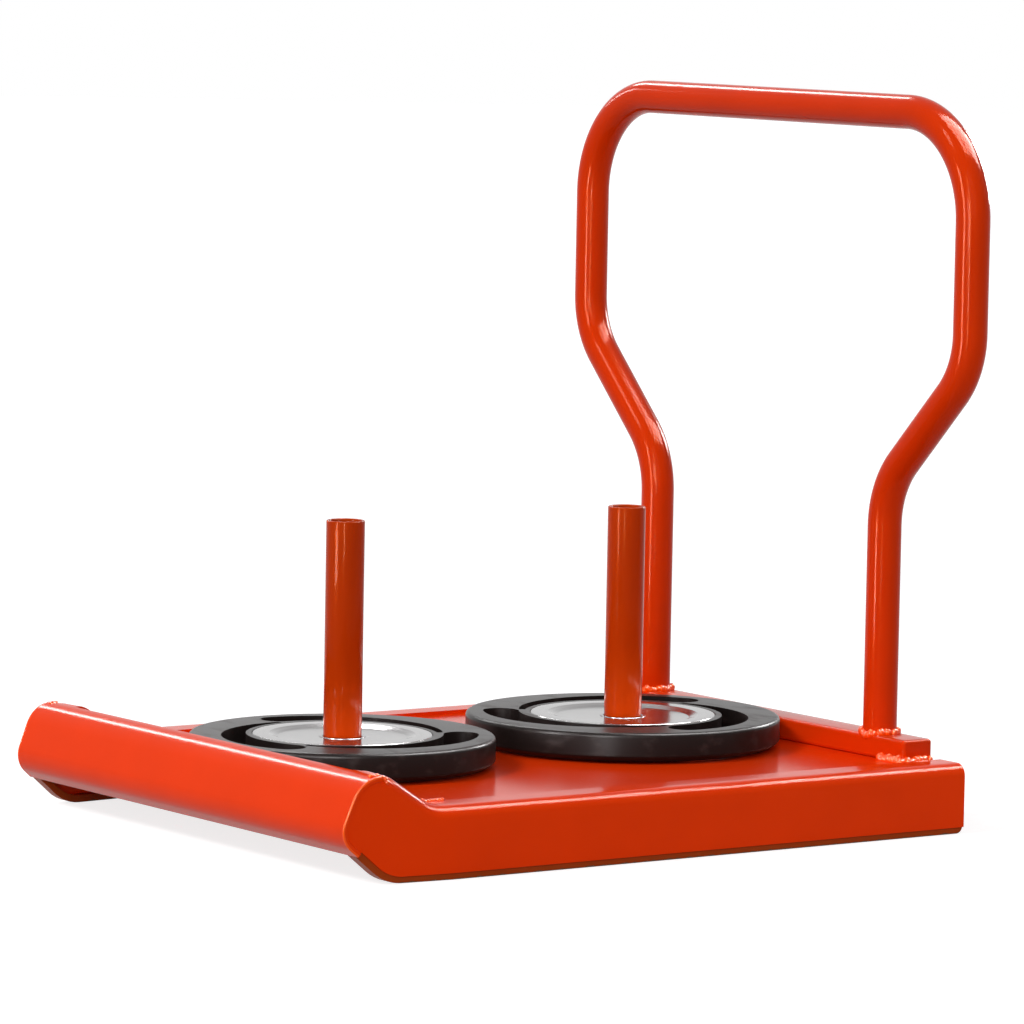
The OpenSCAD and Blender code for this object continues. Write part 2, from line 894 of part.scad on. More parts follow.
module plate_rear_disc() {
    plate_disc(post_rear_x, rear_radius);
}

module plate_rear_bush() {
    plate_bush(post_rear_x);
}

deck_plate();
nose_sheet();
side_member_left();
side_member_right();
skid_left();
skid_right();
skid_welds_left();
skid_welds_right();
cross_member_front();
cross_member_rear();
crossbar();
crossbar_cap_left();
crossbar_cap_right();
crossbar_weld_left();
crossbar_weld_right();
handle_tube();
handle_weld_left();
handle_weld_right();
post_front();
post_rear();
post_weld_front();
post_weld_rear();
nose_weld_left();
nose_weld_right();
plate_front_body();
plate_front_disc();
plate_front_bush();
plate_rear_body();
plate_rear_disc();
plate_rear_bush();
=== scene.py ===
"""Looks of the weight sled: painted deck, rolled nose, two posts, two plates and a bent handle."""

from __future__ import annotations

import logging
import math
from dataclasses import dataclass, field
from enum import Enum
from functools import cache

import bmesh
import bpy
import numpy as np
from mathutils import Matrix, Vector

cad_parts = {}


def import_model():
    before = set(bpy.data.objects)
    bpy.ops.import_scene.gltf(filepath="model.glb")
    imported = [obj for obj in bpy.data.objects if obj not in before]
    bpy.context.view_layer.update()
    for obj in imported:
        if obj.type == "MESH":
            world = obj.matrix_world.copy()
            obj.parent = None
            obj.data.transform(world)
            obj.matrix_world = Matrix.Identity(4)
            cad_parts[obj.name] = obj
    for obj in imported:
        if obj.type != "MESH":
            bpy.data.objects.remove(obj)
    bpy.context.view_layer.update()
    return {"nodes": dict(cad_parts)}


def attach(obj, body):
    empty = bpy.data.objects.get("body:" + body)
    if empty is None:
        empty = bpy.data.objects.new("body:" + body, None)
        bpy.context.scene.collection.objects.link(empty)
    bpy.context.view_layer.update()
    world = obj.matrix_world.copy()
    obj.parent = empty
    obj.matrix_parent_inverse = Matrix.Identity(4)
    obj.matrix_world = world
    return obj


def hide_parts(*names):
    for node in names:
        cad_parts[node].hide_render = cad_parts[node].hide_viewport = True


LOG = logging.getLogger("weight_sled")
MM = 0.001
MERGE_DISTANCE = 0.00002

Colour = tuple[float, float, float]
Point = tuple[float, float, float]
Flat = tuple[float, float]
Material = bpy.types.Material
Object = bpy.types.Object
Socket = bpy.types.NodeSocket


class Body(Enum):
    """The bodies that pieces ride on."""

    SLED = "sled"
    FRONT_PLATE = "front_plate"
    REAR_PLATE = "rear_plate"


class Slot(Enum):
    """The record's material slots."""

    FRAME = "frame_paint"
    HANDLE = "handle_paint"
    POST = "post_paint"
    WELD = "weld_paint"
    SKID = "skid_paint"
    RUBBER = "plate_rubber"
    STEEL = "plate_steel"
    BUSH = "bush_steel"


class Side(Enum):
    """The sled's two sides, as the sign of Y."""

    LEFT = 1
    RIGHT = -1

    @property
    def label(self) -> str:
        """The side's name in node names."""
        return self.name.lower()

    @property
    def flip(self) -> np.ndarray:
        """What turns the left side's points into this side's."""
        return np.array([1.0, self.value, 1.0])


# ---------------------------------------------------------------------------------------------
# Shader groups and finishes
# ---------------------------------------------------------------------------------------------


class NodeDesk:
    """Places and joins nodes in one tree."""

    def __init__(self, tree: bpy.types.NodeTree) -> None:
        """Keeps the tree.

        Args:
            tree: The node tree to work in.
        """
        self.tree = tree

    def fill(self, node: bpy.types.Node, values: dict) -> None:
        """Sets or links a node's inputs.

        Args:
            node: The node.
            values: Numbers to set or sockets to link, by the input's name or number.
        """
        for key, value in values.items():
            if isinstance(value, Socket):
                self.tree.links.new(value, node.inputs[key])
            else:
                node.inputs[key].default_value = value

    def add(self, kind: str, values: dict | None = None, **settings: object) -> bpy.types.Node:
        """Adds a node.

        Args:
            kind: The node's type name.
            values: Its inputs, as fill takes them.
            **settings: The node's own properties.

        Returns:
            The new node.
        """
        node = self.tree.nodes.new(kind)
        for key, value in settings.items():
            setattr(node, key, value)
        self.fill(node, values or {})
        return node

    def sum(self, operation: str, *terms: object) -> Socket:
        """Adds a Math node on sockets or numbers and gives its output."""
        return self.add("ShaderNodeMath", dict(enumerate(terms)), operation=operation).outputs[0]

    def noise(self, place: Socket, scale: object, detail: float) -> Socket:
        """Adds a noise texture and gives its value."""
        values = {"Vector": place, "Scale": scale, "Detail": detail}
        return self.add("ShaderNodeTexNoise", values).outputs[0]

    def ramp(self, value: Socket, low: float, high: float, start: float = 0.0,
             end: float = 1.0) -> Socket:
        """Maps a value from low..high to start..end, smoothly and clamped."""
        values = dict(enumerate((value, low, high, start, end)))
        return self.add("ShaderNodeMapRange", values, interpolation_type="SMOOTHSTEP").outputs[0]

    def blend(self, mask: Socket, first: object, second: object) -> Socket:
        """Mixes two colours.

        Args:
            mask: How much of the second shows.
            first: A socket or a colour.
            second: A socket or a colour.

        Returns:
            The mixed colour.
        """
        ends = [end if isinstance(end, Socket) else (*end, 1.0) for end in (first, second)]
        node = self.add("ShaderNodeMix", {0: mask}, data_type="RGBA")
        self.fill(node, {6: ends[0], 7: ends[1]})
        return node.outputs[2]

    def bump(self, height: Socket, strength: float, distance: float) -> Socket:
        """Adds a Bump node and gives its normal."""
        values = {"Strength": strength, "Distance": distance, "Height": height}
        return self.add("ShaderNodeBump", values).outputs[0]

    def split(self, vector: Socket) -> bpy.types.NodeOutputs:
        """The three parts of a vector."""
        return self.add("ShaderNodeSeparateXYZ", {0: vector}).outputs

    def effect(self, group: type[ShaderGroup], place: Socket,
               **values: object) -> bpy.types.NodeOutputs:
        """Places a shader group.

        Args:
            group: The effect.
            place: The coordinates.
            **values: The group's other inputs.

        Returns:
            The group's outputs, by name.
        """
        values["Coordinates"] = place
        return self.add("ShaderNodeGroup", values, node_tree=group.tree()).outputs


class ShaderGroup:
    """An effect that finishes share, built when the first of them asks for it."""

    name = "effect"
    inputs: tuple[str, ...] = ()
    outputs: tuple[str, ...] = ()
    kinds = {"Coordinates": "NodeSocketVector", "Colour": "NodeSocketColor"}

    @classmethod
    @cache
    def tree(cls) -> bpy.types.NodeTree:
        """The group's tree, with its named inputs and outputs."""
        tree = bpy.data.node_groups.new(cls.name, "ShaderNodeTree")
        for way, names in (("INPUT", ("Coordinates", *cls.inputs)), ("OUTPUT", cls.outputs)):
            for name in names:
                kind = cls.kinds.get(name, "NodeSocketFloat")
                tree.interface.new_socket(name=name, in_out=way, socket_type=kind)
        desk = NodeDesk(tree)
        desk.add("NodeGroupOutput", cls.grow(desk, desk.add("NodeGroupInput").outputs))
        return tree

    @staticmethod
    def grow(desk: NodeDesk, given: bpy.types.NodeOutputs) -> dict[str, Socket]:
        """Builds the effect, in the subclass.

        Args:
            desk: The group's desk.
            given: The group's inputs, by name.

        Returns:
            The group's outputs, by name.
        """
        raise NotImplementedError


class OrangePeel(ShaderGroup):
    """The slight waviness of a baked powder coat."""

    name = "orange_peel"
    inputs = ("Scale",)
    outputs = ("Height",)

    @staticmethod
    def grow(desk: NodeDesk, given: bpy.types.NodeOutputs) -> dict[str, Socket]:
        """Adds coarse waves to fine ones."""
        place, scale = given["Coordinates"], given["Scale"]
        fine = desk.noise(place, scale, 1.0)
        coarse = desk.noise(place, desk.sum("MULTIPLY", scale, 0.27), 1.0)
        return {"Height": desk.sum("MULTIPLY_ADD", coarse, 0.8, fine)}


class CoatTone(ShaderGroup):
    """Soft changes of tone in a coat, and dust that lies on what faces up."""

    name = "coat_tone"
    inputs = ("Colour", "Depth", "Dust")
    outputs = ("Colour", "Dull")
    dust_colour = (0.46, 0.20, 0.10)

    @staticmethod
    def grow(desk: NodeDesk, given: bpy.types.NodeOutputs) -> dict[str, Socket]:
        """Scales the colour by slow noise and strews the dust."""
        place = given["Coordinates"]
        tone = desk.sum("SUBTRACT", desk.noise(place, 9.0, 3.0), 0.5)
        tone = desk.sum("MULTIPLY_ADD", tone, given["Depth"], 1.0)
        toned = desk.add("ShaderNodeVectorMath", {0: given["Colour"], "Scale": tone}, operation="SCALE")
        facing = desk.split(desk.add("ShaderNodeNewGeometry").outputs["Normal"])
        up = desk.ramp(facing[2], 0.6, 0.98)
        specks = desk.ramp(desk.noise(place, 130.0, 4.0), 0.56, 0.74)
        cloud = desk.ramp(desk.noise(place, 14.0, 2.0), 0.35, 0.75, 0.2, 1.0)
        dust = desk.sum("MULTIPLY", desk.sum("MULTIPLY", specks, cloud),
                        desk.sum("MULTIPLY", up, given["Dust"]))
        return {"Colour": desk.blend(dust, toned.outputs[0], CoatTone.dust_colour), "Dull": dust}


class RubbedFoot(ShaderGroup):
    """A mask that is 1 near the floor, where paint is rubbed away, with a ragged edge."""

    name = "rubbed_foot"
    inputs = ("Level",)
    outputs = ("Mask",)
    raggedness = 0.006

    @staticmethod
    def grow(desk: NodeDesk, given: bpy.types.NodeOutputs) -> dict[str, Socket]:
        """Compares the height above the floor, made ragged, with the level."""
        place = given["Coordinates"]
        ragged = desk.sum("MULTIPLY_ADD", desk.noise(place, 90.0, 4.0), RubbedFoot.raggedness,
                          desk.split(place)[2])
        height = desk.sum("SUBTRACT", ragged, RubbedFoot.raggedness / 2)
        return {"Mask": desk.ramp(desk.sum("DIVIDE", height, given["Level"]), 0.75, 1.25, 1.0, 0.0)}


class TurnedRings(ShaderGroup):
    """Fine rings round the Z axis, as a lathe leaves them."""

    name = "turned_rings"
    inputs = ("Rings",)
    outputs = ("Height", "Tone")

    @staticmethod
    def grow(desk: NodeDesk, given: bpy.types.NodeOutputs) -> dict[str, Socket]:
        """Runs noise along the distance from the axis."""
        x, y, z = desk.split(given["Coordinates"])
        square = desk.sum("ADD", desk.sum("POWER", x, 2.0), desk.sum("POWER", y, 2.0))
        line = desk.add("ShaderNodeCombineXYZ", {0: desk.sum("SQRT", square),
                                                 1: desk.sum("MULTIPLY", z, 0.3)}).outputs[0]
        broad = desk.sum("MULTIPLY", given["Rings"], 0.22)
        return {"Height": desk.noise(line, given["Rings"], 2.0), "Tone": desk.noise(line, broad, 3.0)}


class FineGrain(ShaderGroup):
    """The skin of moulded rubber: a fine grain and faint cloudy scuffs."""

    name = "fine_grain"
    inputs = ("Scale",)
    outputs = ("Height", "Scuffs")

    @staticmethod
    def grow(desk: NodeDesk, given: bpy.types.NodeOutputs) -> dict[str, Socket]:
        """Makes the grain, and the scuffs from a stretched and turned noise."""
        place = given["Coordinates"]
        turned = {"Vector": place, "Scale": (40.0, 14.0, 60.0), "Rotation": (0.0, 0.0, 0.6)}
        streaks = desk.noise(desk.add("ShaderNodeMapping", turned).outputs[0], 1.0, 5.0)
        return {"Height": desk.noise(place, given["Scale"], 3.0),
                "Scuffs": desk.ramp(streaks, 0.5, 0.8)}


def clear_desk(owner: bpy.types.Material | bpy.types.World) -> NodeDesk:
    """Empties the nodes of a material or a world and gives its desk."""
    owner.use_nodes = True
    owner.node_tree.nodes.clear()
    return NodeDesk(owner.node_tree)


@dataclass(frozen=True)
class Finish:
    """A procedural material on Object coordinates."""

    name: str

    def make(self) -> Material:
        """Builds the material."""
        material = bpy.data.materials.new(self.name)
        desk = clear_desk(material)
        place = {"Vector": desk.add("ShaderNodeTexCoord").outputs["Object"], "Location": self.origin()}
        mapping = desk.add("ShaderNodeMapping", place)
        shader = desk.add("ShaderNodeBsdfPrincipled", self.inputs(desk, mapping.outputs[0]))
        desk.add("ShaderNodeOutputMaterial", {0: shader.outputs[0]})
        return material

    def origin(self) -> Point:
        """How far the coordinates are moved, in metres."""
        return (0.0, 0.0, 0.0)

    def inputs(self, desk: NodeDesk, place: Socket) -> dict[str, object]:
        """Gives the shader's inputs, in the subclass.

        Args:
            desk: The material's desk.
            place: The coordinates.

        Returns:
            Numbers and sockets, by the shader's names.
        """
        raise NotImplementedError


@dataclass(frozen=True)
class PowderCoat(Finish):
    """A baked powder coat: tone, orange peel, dust and, on request, a rubbed foot."""

    colour: Colour
    roughness: float = 0.15
    coat: float = 0.025
    specular: float = 0.05
    tint: Colour = (1.0, 0.32, 0.07)
    peel: float = 0.10
    peel_scale: float = 420.0
    peel_depth: float = 0.0004
    dust: float = 0.16
    dust_dulls: float = 0.35
    tone: float = 0.16
    rubbed_level: float = 0.0
    rubbed_colour: Colour = (0.15, 0.075, 0.045)
    rubbed_dulls: float = 0.25

    def inputs(self, desk: NodeDesk, place: Socket) -> dict[str, object]:
        """Gives the shader's inputs."""
        tone = desk.effect(CoatTone, place, Colour=(*self.colour, 1.0), Depth=self.tone, Dust=self.dust)
        peel = desk.effect(OrangePeel, place, Scale=self.peel_scale)
        colour = tone["Colour"]
        rough = desk.sum("MULTIPLY_ADD", tone["Dull"], self.dust_dulls, self.roughness)
        if self.rubbed_level:
            bare = desk.effect(RubbedFoot, place, Level=self.rubbed_level)["Mask"]
            colour = desk.blend(bare, colour, self.rubbed_colour)
            rough = desk.sum("MULTIPLY_ADD", bare, self.rubbed_dulls, rough)
        return {"Base Color": colour, "Roughness": rough, "Specular IOR Level": self.specular,
                "Specular Tint": (*self.tint, 1.0), "Coat Weight": self.coat, "Coat Roughness": 0.05,
                "Normal": desk.bump(peel["Height"], self.peel, self.peel_depth)}


@dataclass(frozen=True)
class MouldedRubber(Finish):
    """Dense black rubber with a slight gloss, a fine grain and faint scuffs."""

    colour: Colour = (0.0125, 0.0085, 0.0078)
    roughness: float = 0.30
    specular: float = 0.08
    grain_scale: float = 1100.0
    grain_depth: float = 0.0003
    grain_bump: float = 0.12
    scuffs_dull: float = 0.14

    def inputs(self, desk: NodeDesk, place: Socket) -> dict[str, object]:
        """Gives the shader's inputs."""
        grain = desk.effect(FineGrain, place, Scale=self.grain_scale)
        scuffed = tuple(2.0 * c + 0.006 for c in self.colour)
        rough = desk.sum("MULTIPLY_ADD", grain["Scuffs"], self.scuffs_dull, self.roughness)
        return {"Base Color": desk.blend(grain["Scuffs"], self.colour, scuffed), "Roughness": rough,
                "Specular IOR Level": self.specular,
                "Normal": desk.bump(grain["Height"], self.grain_bump, self.grain_depth)}


@dataclass(frozen=True)
class TurnedSteel(Finish):
    """Bare steel with fine lathe rings round its post."""

    centre_x: float
    colour: Colour = (0.33, 0.32, 0.32)
    roughness: float = 0.16
    rings: float = 900.0
    ring_depth: float = 0.0004
    darkest: float = 0.42
    tone_dulls: float = 0.10
    ring_bump: float = 0.09

    def origin(self) -> Point:
        """How far the coordinates are moved, in metres."""
        return (-self.centre_x * MM, 0.0, 0.0)

    def inputs(self, desk: NodeDesk, place: Socket) -> dict[str, object]:
        """Gives the shader's inputs."""
        rings = desk.effect(TurnedRings, place, Rings=self.rings)
        dark = tuple(self.darkest * c for c in self.colour)
        least = self.roughness - self.tone_dulls / 2
        rough = desk.sum("MULTIPLY_ADD", rings["Tone"], self.tone_dulls, least)
        return {"Base Color": desk.blend(rings["Tone"], dark, self.colour), "Roughness": rough,
                "Metallic": 1.0, "Normal": desk.bump(rings["Height"], self.ring_bump, self.ring_depth)}


@dataclass
class PaintShop:
    """All finishes of the sled, each made once."""

    front_x: float
    rear_x: float
    made: dict[str, Material] = field(default_factory=dict)

    def mix(self) -> None:
        """Builds every material."""
        finishes = [
            PowderCoat("sled_paint", (0.79, 0.040, 0.0010)),
            # tube_paint is a darker copy of the frame paint: painted shade on the handle and the
            # crossbar.
            PowderCoat("tube_paint", (0.60, 0.030, 0.0010), coat=0.03, dust=0.05),
            # post_paint is a darker copy of the frame paint: painted shade on the posts.
            PowderCoat("post_paint", (0.43, 0.032, 0.0010), 0.20, 0.03, peel=0.15, dust=0.05),
            PowderCoat("bead_paint", (0.84, 0.070, 0.002), 0.14, 0.25, 0.3, peel=0.3, dust=0.0),
            # edge_paint is a lighter copy of the frame paint: a painted highlight along the nose
            # sheet's end edges.
            PowderCoat("edge_paint", (0.93, 0.085, 0.003), 0.16, 0.12, 0.2, dust=0.0, tone=0.1),
            # thin_under_paint is a darker, rougher copy of the frame paint for the channels under the
            # deck.
            PowderCoat("thin_under_paint", (0.42, 0.026, 0.0015), 0.45, 0.03, dust=0.0, tone=0.3),
            PowderCoat("runner_paint", (0.34, 0.046, 0.006), 0.38, 0.03, dust=0.0, tone=0.3,
                       rubbed_level=0.0012),
            MouldedRubber("plate_rubber"),
        ]
        for plate, x in (("front", self.front_x), ("rear", self.rear_x)):
            finishes += [TurnedSteel(f"{plate}_disc_steel", x),
                         TurnedSteel(f"{plate}_bush_steel", x, (0.30, 0.29, 0.29), 0.20, 1500.0)]
        for finish in finishes:
            self.made[finish.name] = finish.make()
            LOG.info("finish %s", finish.name)

    def __getitem__(self, name: str) -> Material:
        """The material of that name."""
        return self.made[name]


# ---------------------------------------------------------------------------------------------
# Mesh tools
# ---------------------------------------------------------------------------------------------


def polar(centre: Flat, radius: float, degrees: float) -> Flat:
    """The point at a distance and direction from a centre."""
    angle = math.radians(degrees)
    return centre[0] + radius * math.cos(angle), centre[1] + radius * math.sin(angle)


def arc(centre: Flat, radius: float, start: float, end: float, count: int) -> list[Flat]:
    """Points along an arc, from one direction to another, in degrees."""
    return [polar(centre, radius, degrees) for degrees in np.linspace(start, end, count)]


def arc_through(points: list[Flat], count: int) -> list[Flat]:
    """Points along the circle through three points, turning left from the first to the last."""
    a, b, c = (np.array(p) for p in points)
    squares = np.array([a @ a, b @ b, c @ c])
    across = np.array([b - c, c - a, a - b])
    double = 2 * (np.array([a[0], b[0], c[0]]) @ across[:, 1])
    centre = np.array([squares @ across[:, 1], -(squares @ across[:, 0])]) / double
    start, end = (math.degrees(math.atan2(*(p - centre)[::-1])) for p in (a, c))
    if end < start:
        end += 360
    return arc(tuple(centre), float(np.linalg.norm(a - centre)), start, end, count)


def ring(x: float, radius: float, height: float, count: int) -> np.ndarray:
    """Points of a level circle whose centre is over the X axis."""
    turns = np.linspace(0.0, 2.0 * math.pi, count, endpoint=False)
    return np.column_stack([x + np.cos(turns) * radius, np.sin(turns) * radius, np.full(count, height)])


def rounded_loop(points: list[Point], steps: int = 5) -> list[Flat]:
    """Rounds the corners of a closed outline.

    Args:
        points: Corners as x, y and the corner's radius.
        steps: Steps of each rounded corner.

    Returns:
        The outline's points.
    """
    out: list[Flat] = []
    for i, (x, y, radius) in enumerate(points):
        here = np.array([x, y])
        if radius <= 0:
            out.append((x, y))
            continue
        back = np.array(points[i - 1][:2]) - here
        ahead = np.array(points[(i + 1) % len(points)][:2]) - here
        back /= np.linalg.norm(back)
        ahead /= np.linalg.norm(ahead)
        half = math.acos(float(np.clip(back @ ahead, -1, 1))) / 2
        run = radius / math.tan(half)
        middle = (back + ahead) / np.linalg.norm(back + ahead)
        centre = here + middle * radius / math.sin(half)
        start, end = here + back * run - centre, here + ahead * run - centre
        turn = math.atan2(start[0] * end[1] - start[1] * end[0], float(start @ end))
        out += [tuple(centre + spin(turn * k / steps) @ start) for k in range(steps + 1)]
    return out


def spin(turn: float) -> np.ndarray:
    """The matrix of a turn in the plane, in radians."""
    return np.array([[math.cos(turn), -math.sin(turn)], [math.sin(turn), math.cos(turn)]])


class Draft:
    """Collects corners and faces, in millimetres, for one piece."""

    def __init__(self) -> None:
        """Starts empty."""
        self.corners: list[Point] = []
        self.faces: list[list[int]] = []

    def grid(self, points: np.ndarray) -> np.ndarray:
        """Adds a grid of points and gives their numbers."""
        rows, columns = points.shape[:2]
        start = len(self.corners)
        self.corners += [tuple(map(float, p)) for p in points.reshape(-1, 3)]
        return start + np.arange(rows * columns).reshape(rows, columns)

    def face(self, numbers: list | np.ndarray) -> None:
        """Adds one face."""
        self.faces.append([int(number) for number in numbers])

    def skin(self, numbers: np.ndarray, wrap: tuple[bool, bool] = (False, False)) -> None:
        """Adds the quads of a grid.

        Args:
            numbers: The corners' numbers, row by row.
            wrap: Whether the last row joins the first, and the last column the first.
        """
        rows, columns = numbers.shape
        for i in range(rows if wrap[0] else rows - 1):
            for j in range(columns if wrap[1] else columns - 1):
                a, b = (i + 1) % rows, (j + 1) % columns
                self.face([numbers[i, j], numbers[a, j], numbers[a, b], numbers[i, b]])

    def strip(self, first: np.ndarray, second: np.ndarray, skip: set[int]) -> None:
        """Joins two equal rows of corners with quads, leaving out the given ones."""
        for i in range(len(first) - 1):
            if i not in skip:
                self.face([first[i], first[i + 1], second[i + 1], second[i]])

    def shell(self, outer: np.ndarray, inner: np.ndarray, skip_start: set[int] = frozenset(),
              skip_end: set[int] = frozenset()) -> None:
        """Adds a sheet with a thickness.

        Args:
            outer: Points of the outer face, stations by columns.
            inner: Points of the inner face, of the same shape.
            skip_start: Border quads left open at the first station, where another sheet joins.
            skip_end: The same at the last station.
        """
        out, into = self.grid(outer), self.grid(inner)
        self.skin(out)
        self.skin(into)
        for edge, skip in ((np.s_[0], skip_start), (np.s_[-1], skip_end),
                           (np.s_[:, 0], frozenset()), (np.s_[:, -1], frozenset())):
            self.strip(out[edge], into[edge], skip)

    def lathe(self, profile: list[Flat], centre_x: float, segments: int) -> None:
        """Turns a closed profile of radius and height about a vertical line."""
        rings = [ring(centre_x, radius, height, segments) for radius, height in profile]
        self.skin(self.grid(np.stack(rings, axis=1)), (True, True))

    def prism(self, outline: np.ndarray, low: float, high: float) -> None:
        """Adds a closed upright prism.

        Args:
            outline: Corners of the outline, at height 0.
            low: Height of its lower end.
            high: Height of its upper end.
        """
        ends = self.grid(np.array([outline + (0.0, 0.0, height) for height in (low, high)]))
        self.skin(ends, (False, True))
        self.face(ends[0])
        self.face(ends[1][::-1])

    def piece(self, name: str, material: Material, bevel: float = 0.0, segments: int = 2,
              mirror: bool = False, smooth: float = 40.0) -> Object:
        """Makes the object.

        Args:
            name: The piece's name.
            material: Its finish.
            bevel: Width of its rounded sharp edges, in millimetres.
            segments: Steps of that rounding.
            mirror: Whether to make the other side's piece.
            smooth: Angle over which an edge stays sharp, in degrees.

        Returns:
            The object, with its place in its mesh.
        """
        mesh = bpy.data.meshes.new(name)
        flip = -1.0 if mirror else 1.0
        mesh.from_pydata([(x * MM, y * MM * flip, z * MM) for x, y, z in self.corners], [], self.faces)
        work = bmesh.new()
        work.from_mesh(mesh)
        bmesh.ops.remove_doubles(work, verts=work.verts, dist=MERGE_DISTANCE)
        bmesh.ops.recalc_face_normals(work, faces=work.faces)
        work.to_mesh(mesh)
        work.free()
        mesh.materials.append(material)
        thing = bpy.data.objects.new(name, mesh)
        bpy.context.scene.collection.objects.link(thing)
        round_edges(thing, bevel, segments, smooth)
        return thing


def round_edges(thing: Object, width: float, segments: int = 2, smooth: float = 40.0) -> None:
    """Rounds sharp edges and sets smooth shading.

    Args:
        thing: The object.
        width: The rounding's width in millimetres, or 0 for none.
        segments: Steps of the rounding.
        smooth: Angle over which an edge counts as sharp, in degrees.
    """
    mesh = thing.data
    mesh.shade_smooth()
    mesh.set_sharp_from_angle(angle=math.radians(smooth))
    if width:
        bevel = thing.modifiers.new("rounding", "BEVEL")
        bevel.width = width * MM
        bevel.segments = segments
        bevel.limit_method = "ANGLE"
        bevel.angle_limit = math.radians(smooth)
        bevel.harden_normals = True
        settle(thing)


def settle(thing: Object) -> None:
    """Puts the result of an object's modifiers in its own mesh and removes them."""
    graph = bpy.context.evaluated_depsgraph_get()
    mesh = bpy.data.meshes.new_from_object(thing.evaluated_get(graph), preserve_all_data_layers=True,
                                           depsgraph=graph)
    thing.modifiers.clear()
    old = thing.data
    thing.data = mesh
    bpy.data.meshes.remove(old)
    mesh.name = thing.name


def seat(thing: Object, body: Body, slot: Slot, *nodes: str) -> None:
    """Ties a finished piece to its body and hides the CAD nodes that it stands for.

    Args:
        thing: The piece.
        body: The body that it rides on.
        slot: The record's slot of its finish; not used.
        *nodes: The CAD nodes that it stands for.
    """
    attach(thing, body.value)
    if nodes:
        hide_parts(*nodes)
    LOG.info("piece %-22s on %-11s %6d faces", thing.name, body.value, len(thing.data.polygons))


# ---------------------------------------------------------------------------------------------
# Geometry Nodes: bent tubes and weld beads
# ---------------------------------------------------------------------------------------------


class PathTree:
    """A Geometry Nodes tree that turns a path into a painted piece."""

    name = "path"
    sizes: dict[str, str] = {}

    def __init__(self) -> None:
        """Builds the tree with its named inputs."""
        self.tree = bpy.data.node_groups.new(self.name, "GeometryNodeTree")
        face = self.tree.interface
        inputs = {"Path": "NodeSocketGeometry", **self.sizes, "Finish": "NodeSocketMaterial"}
        for key, kind in inputs.items():
            face.new_socket(name=key, in_out="INPUT", socket_type=kind)
        face.new_socket(name="Piece", in_out="OUTPUT", socket_type="NodeSocketGeometry")
        self.desk = NodeDesk(self.tree)
        self.given = self.desk.add("NodeGroupInput").outputs
        line = self.desk.add("GeometryNodeMeshToCurve", {0: self.given["Path"]})
        real = self.desk.add("GeometryNodeRealizeInstances", {0: self.grow(line.outputs[0])})
        paint = self.desk.add("GeometryNodeSetMaterial",
                              {0: real.outputs[0], "Material": self.given["Finish"]})
        self.desk.add("NodeGroupOutput", {0: paint.outputs[0]})

    def grow(self, curve: Socket) -> Socket:
        """Turns the curve into a shape, in the subclass."""
        raise NotImplementedError

    def run(self, name: str, paths: list[np.ndarray], material: Material, closed: bool = False,
            **sizes: float) -> Object:
        """Makes one piece along one or more paths.

        Args:
            name: The piece's name.
            paths: Points of each path, in millimetres.
            material: The finish.
            closed: Whether each path ends where it starts.
            **sizes: The tree's inputs, with underscores for spaces.

        Returns:
            The finished object.
        """
        corners: list[Point] = []
        edges: list[tuple[int, int]] = []
        for path in paths:
            start, count = len(corners), len(path)
            corners += [tuple(float(c) * MM for c in p) for p in path]
            edges += [(start + i, start + i + 1) for i in range(count - 1)]
            if closed:
                edges.append((start + count - 1, start))
        mesh = bpy.data.meshes.new(name)
        mesh.from_pydata(corners, edges, [])
        thing = bpy.data.objects.new(name, mesh)
        modifier = thing.modifiers.new(self.name, "NODES")
        modifier.node_group = self.tree
        wanted = {key.replace("_", " ").capitalize(): value for key, value in sizes.items()}
        wanted["Finish"] = material
        for item in self.tree.interface.items_tree:
            if item.in_out == "INPUT" and item.name in wanted:
                modifier[item.identifier] = wanted[item.name]
        bpy.context.scene.collection.objects.link(thing)
        settle(thing)
        return thing


class BentTube(PathTree):
    """A round tube along a path."""

    name = "bent_tube"
    sizes = {"Tube radius": "NodeSocketFloat", "Segments": "NodeSocketInt"}

    def grow(self, curve: Socket) -> Socket:
        """Sweeps a circle along the curve."""
        desk, given = self.desk, self.given
        circle = desk.add("GeometryNodeCurvePrimitiveCircle",
                          {"Resolution": given["Segments"], "Radius": given["Tube radius"]})
        sweep = desk.add("GeometryNodeCurveToMesh",
                         {"Curve": curve, "Profile Curve": circle.outputs[0], "Fill Caps": True})
        return desk.add("GeometryNodeSetShadeSmooth", {0: sweep.outputs[0]}).outputs[0]


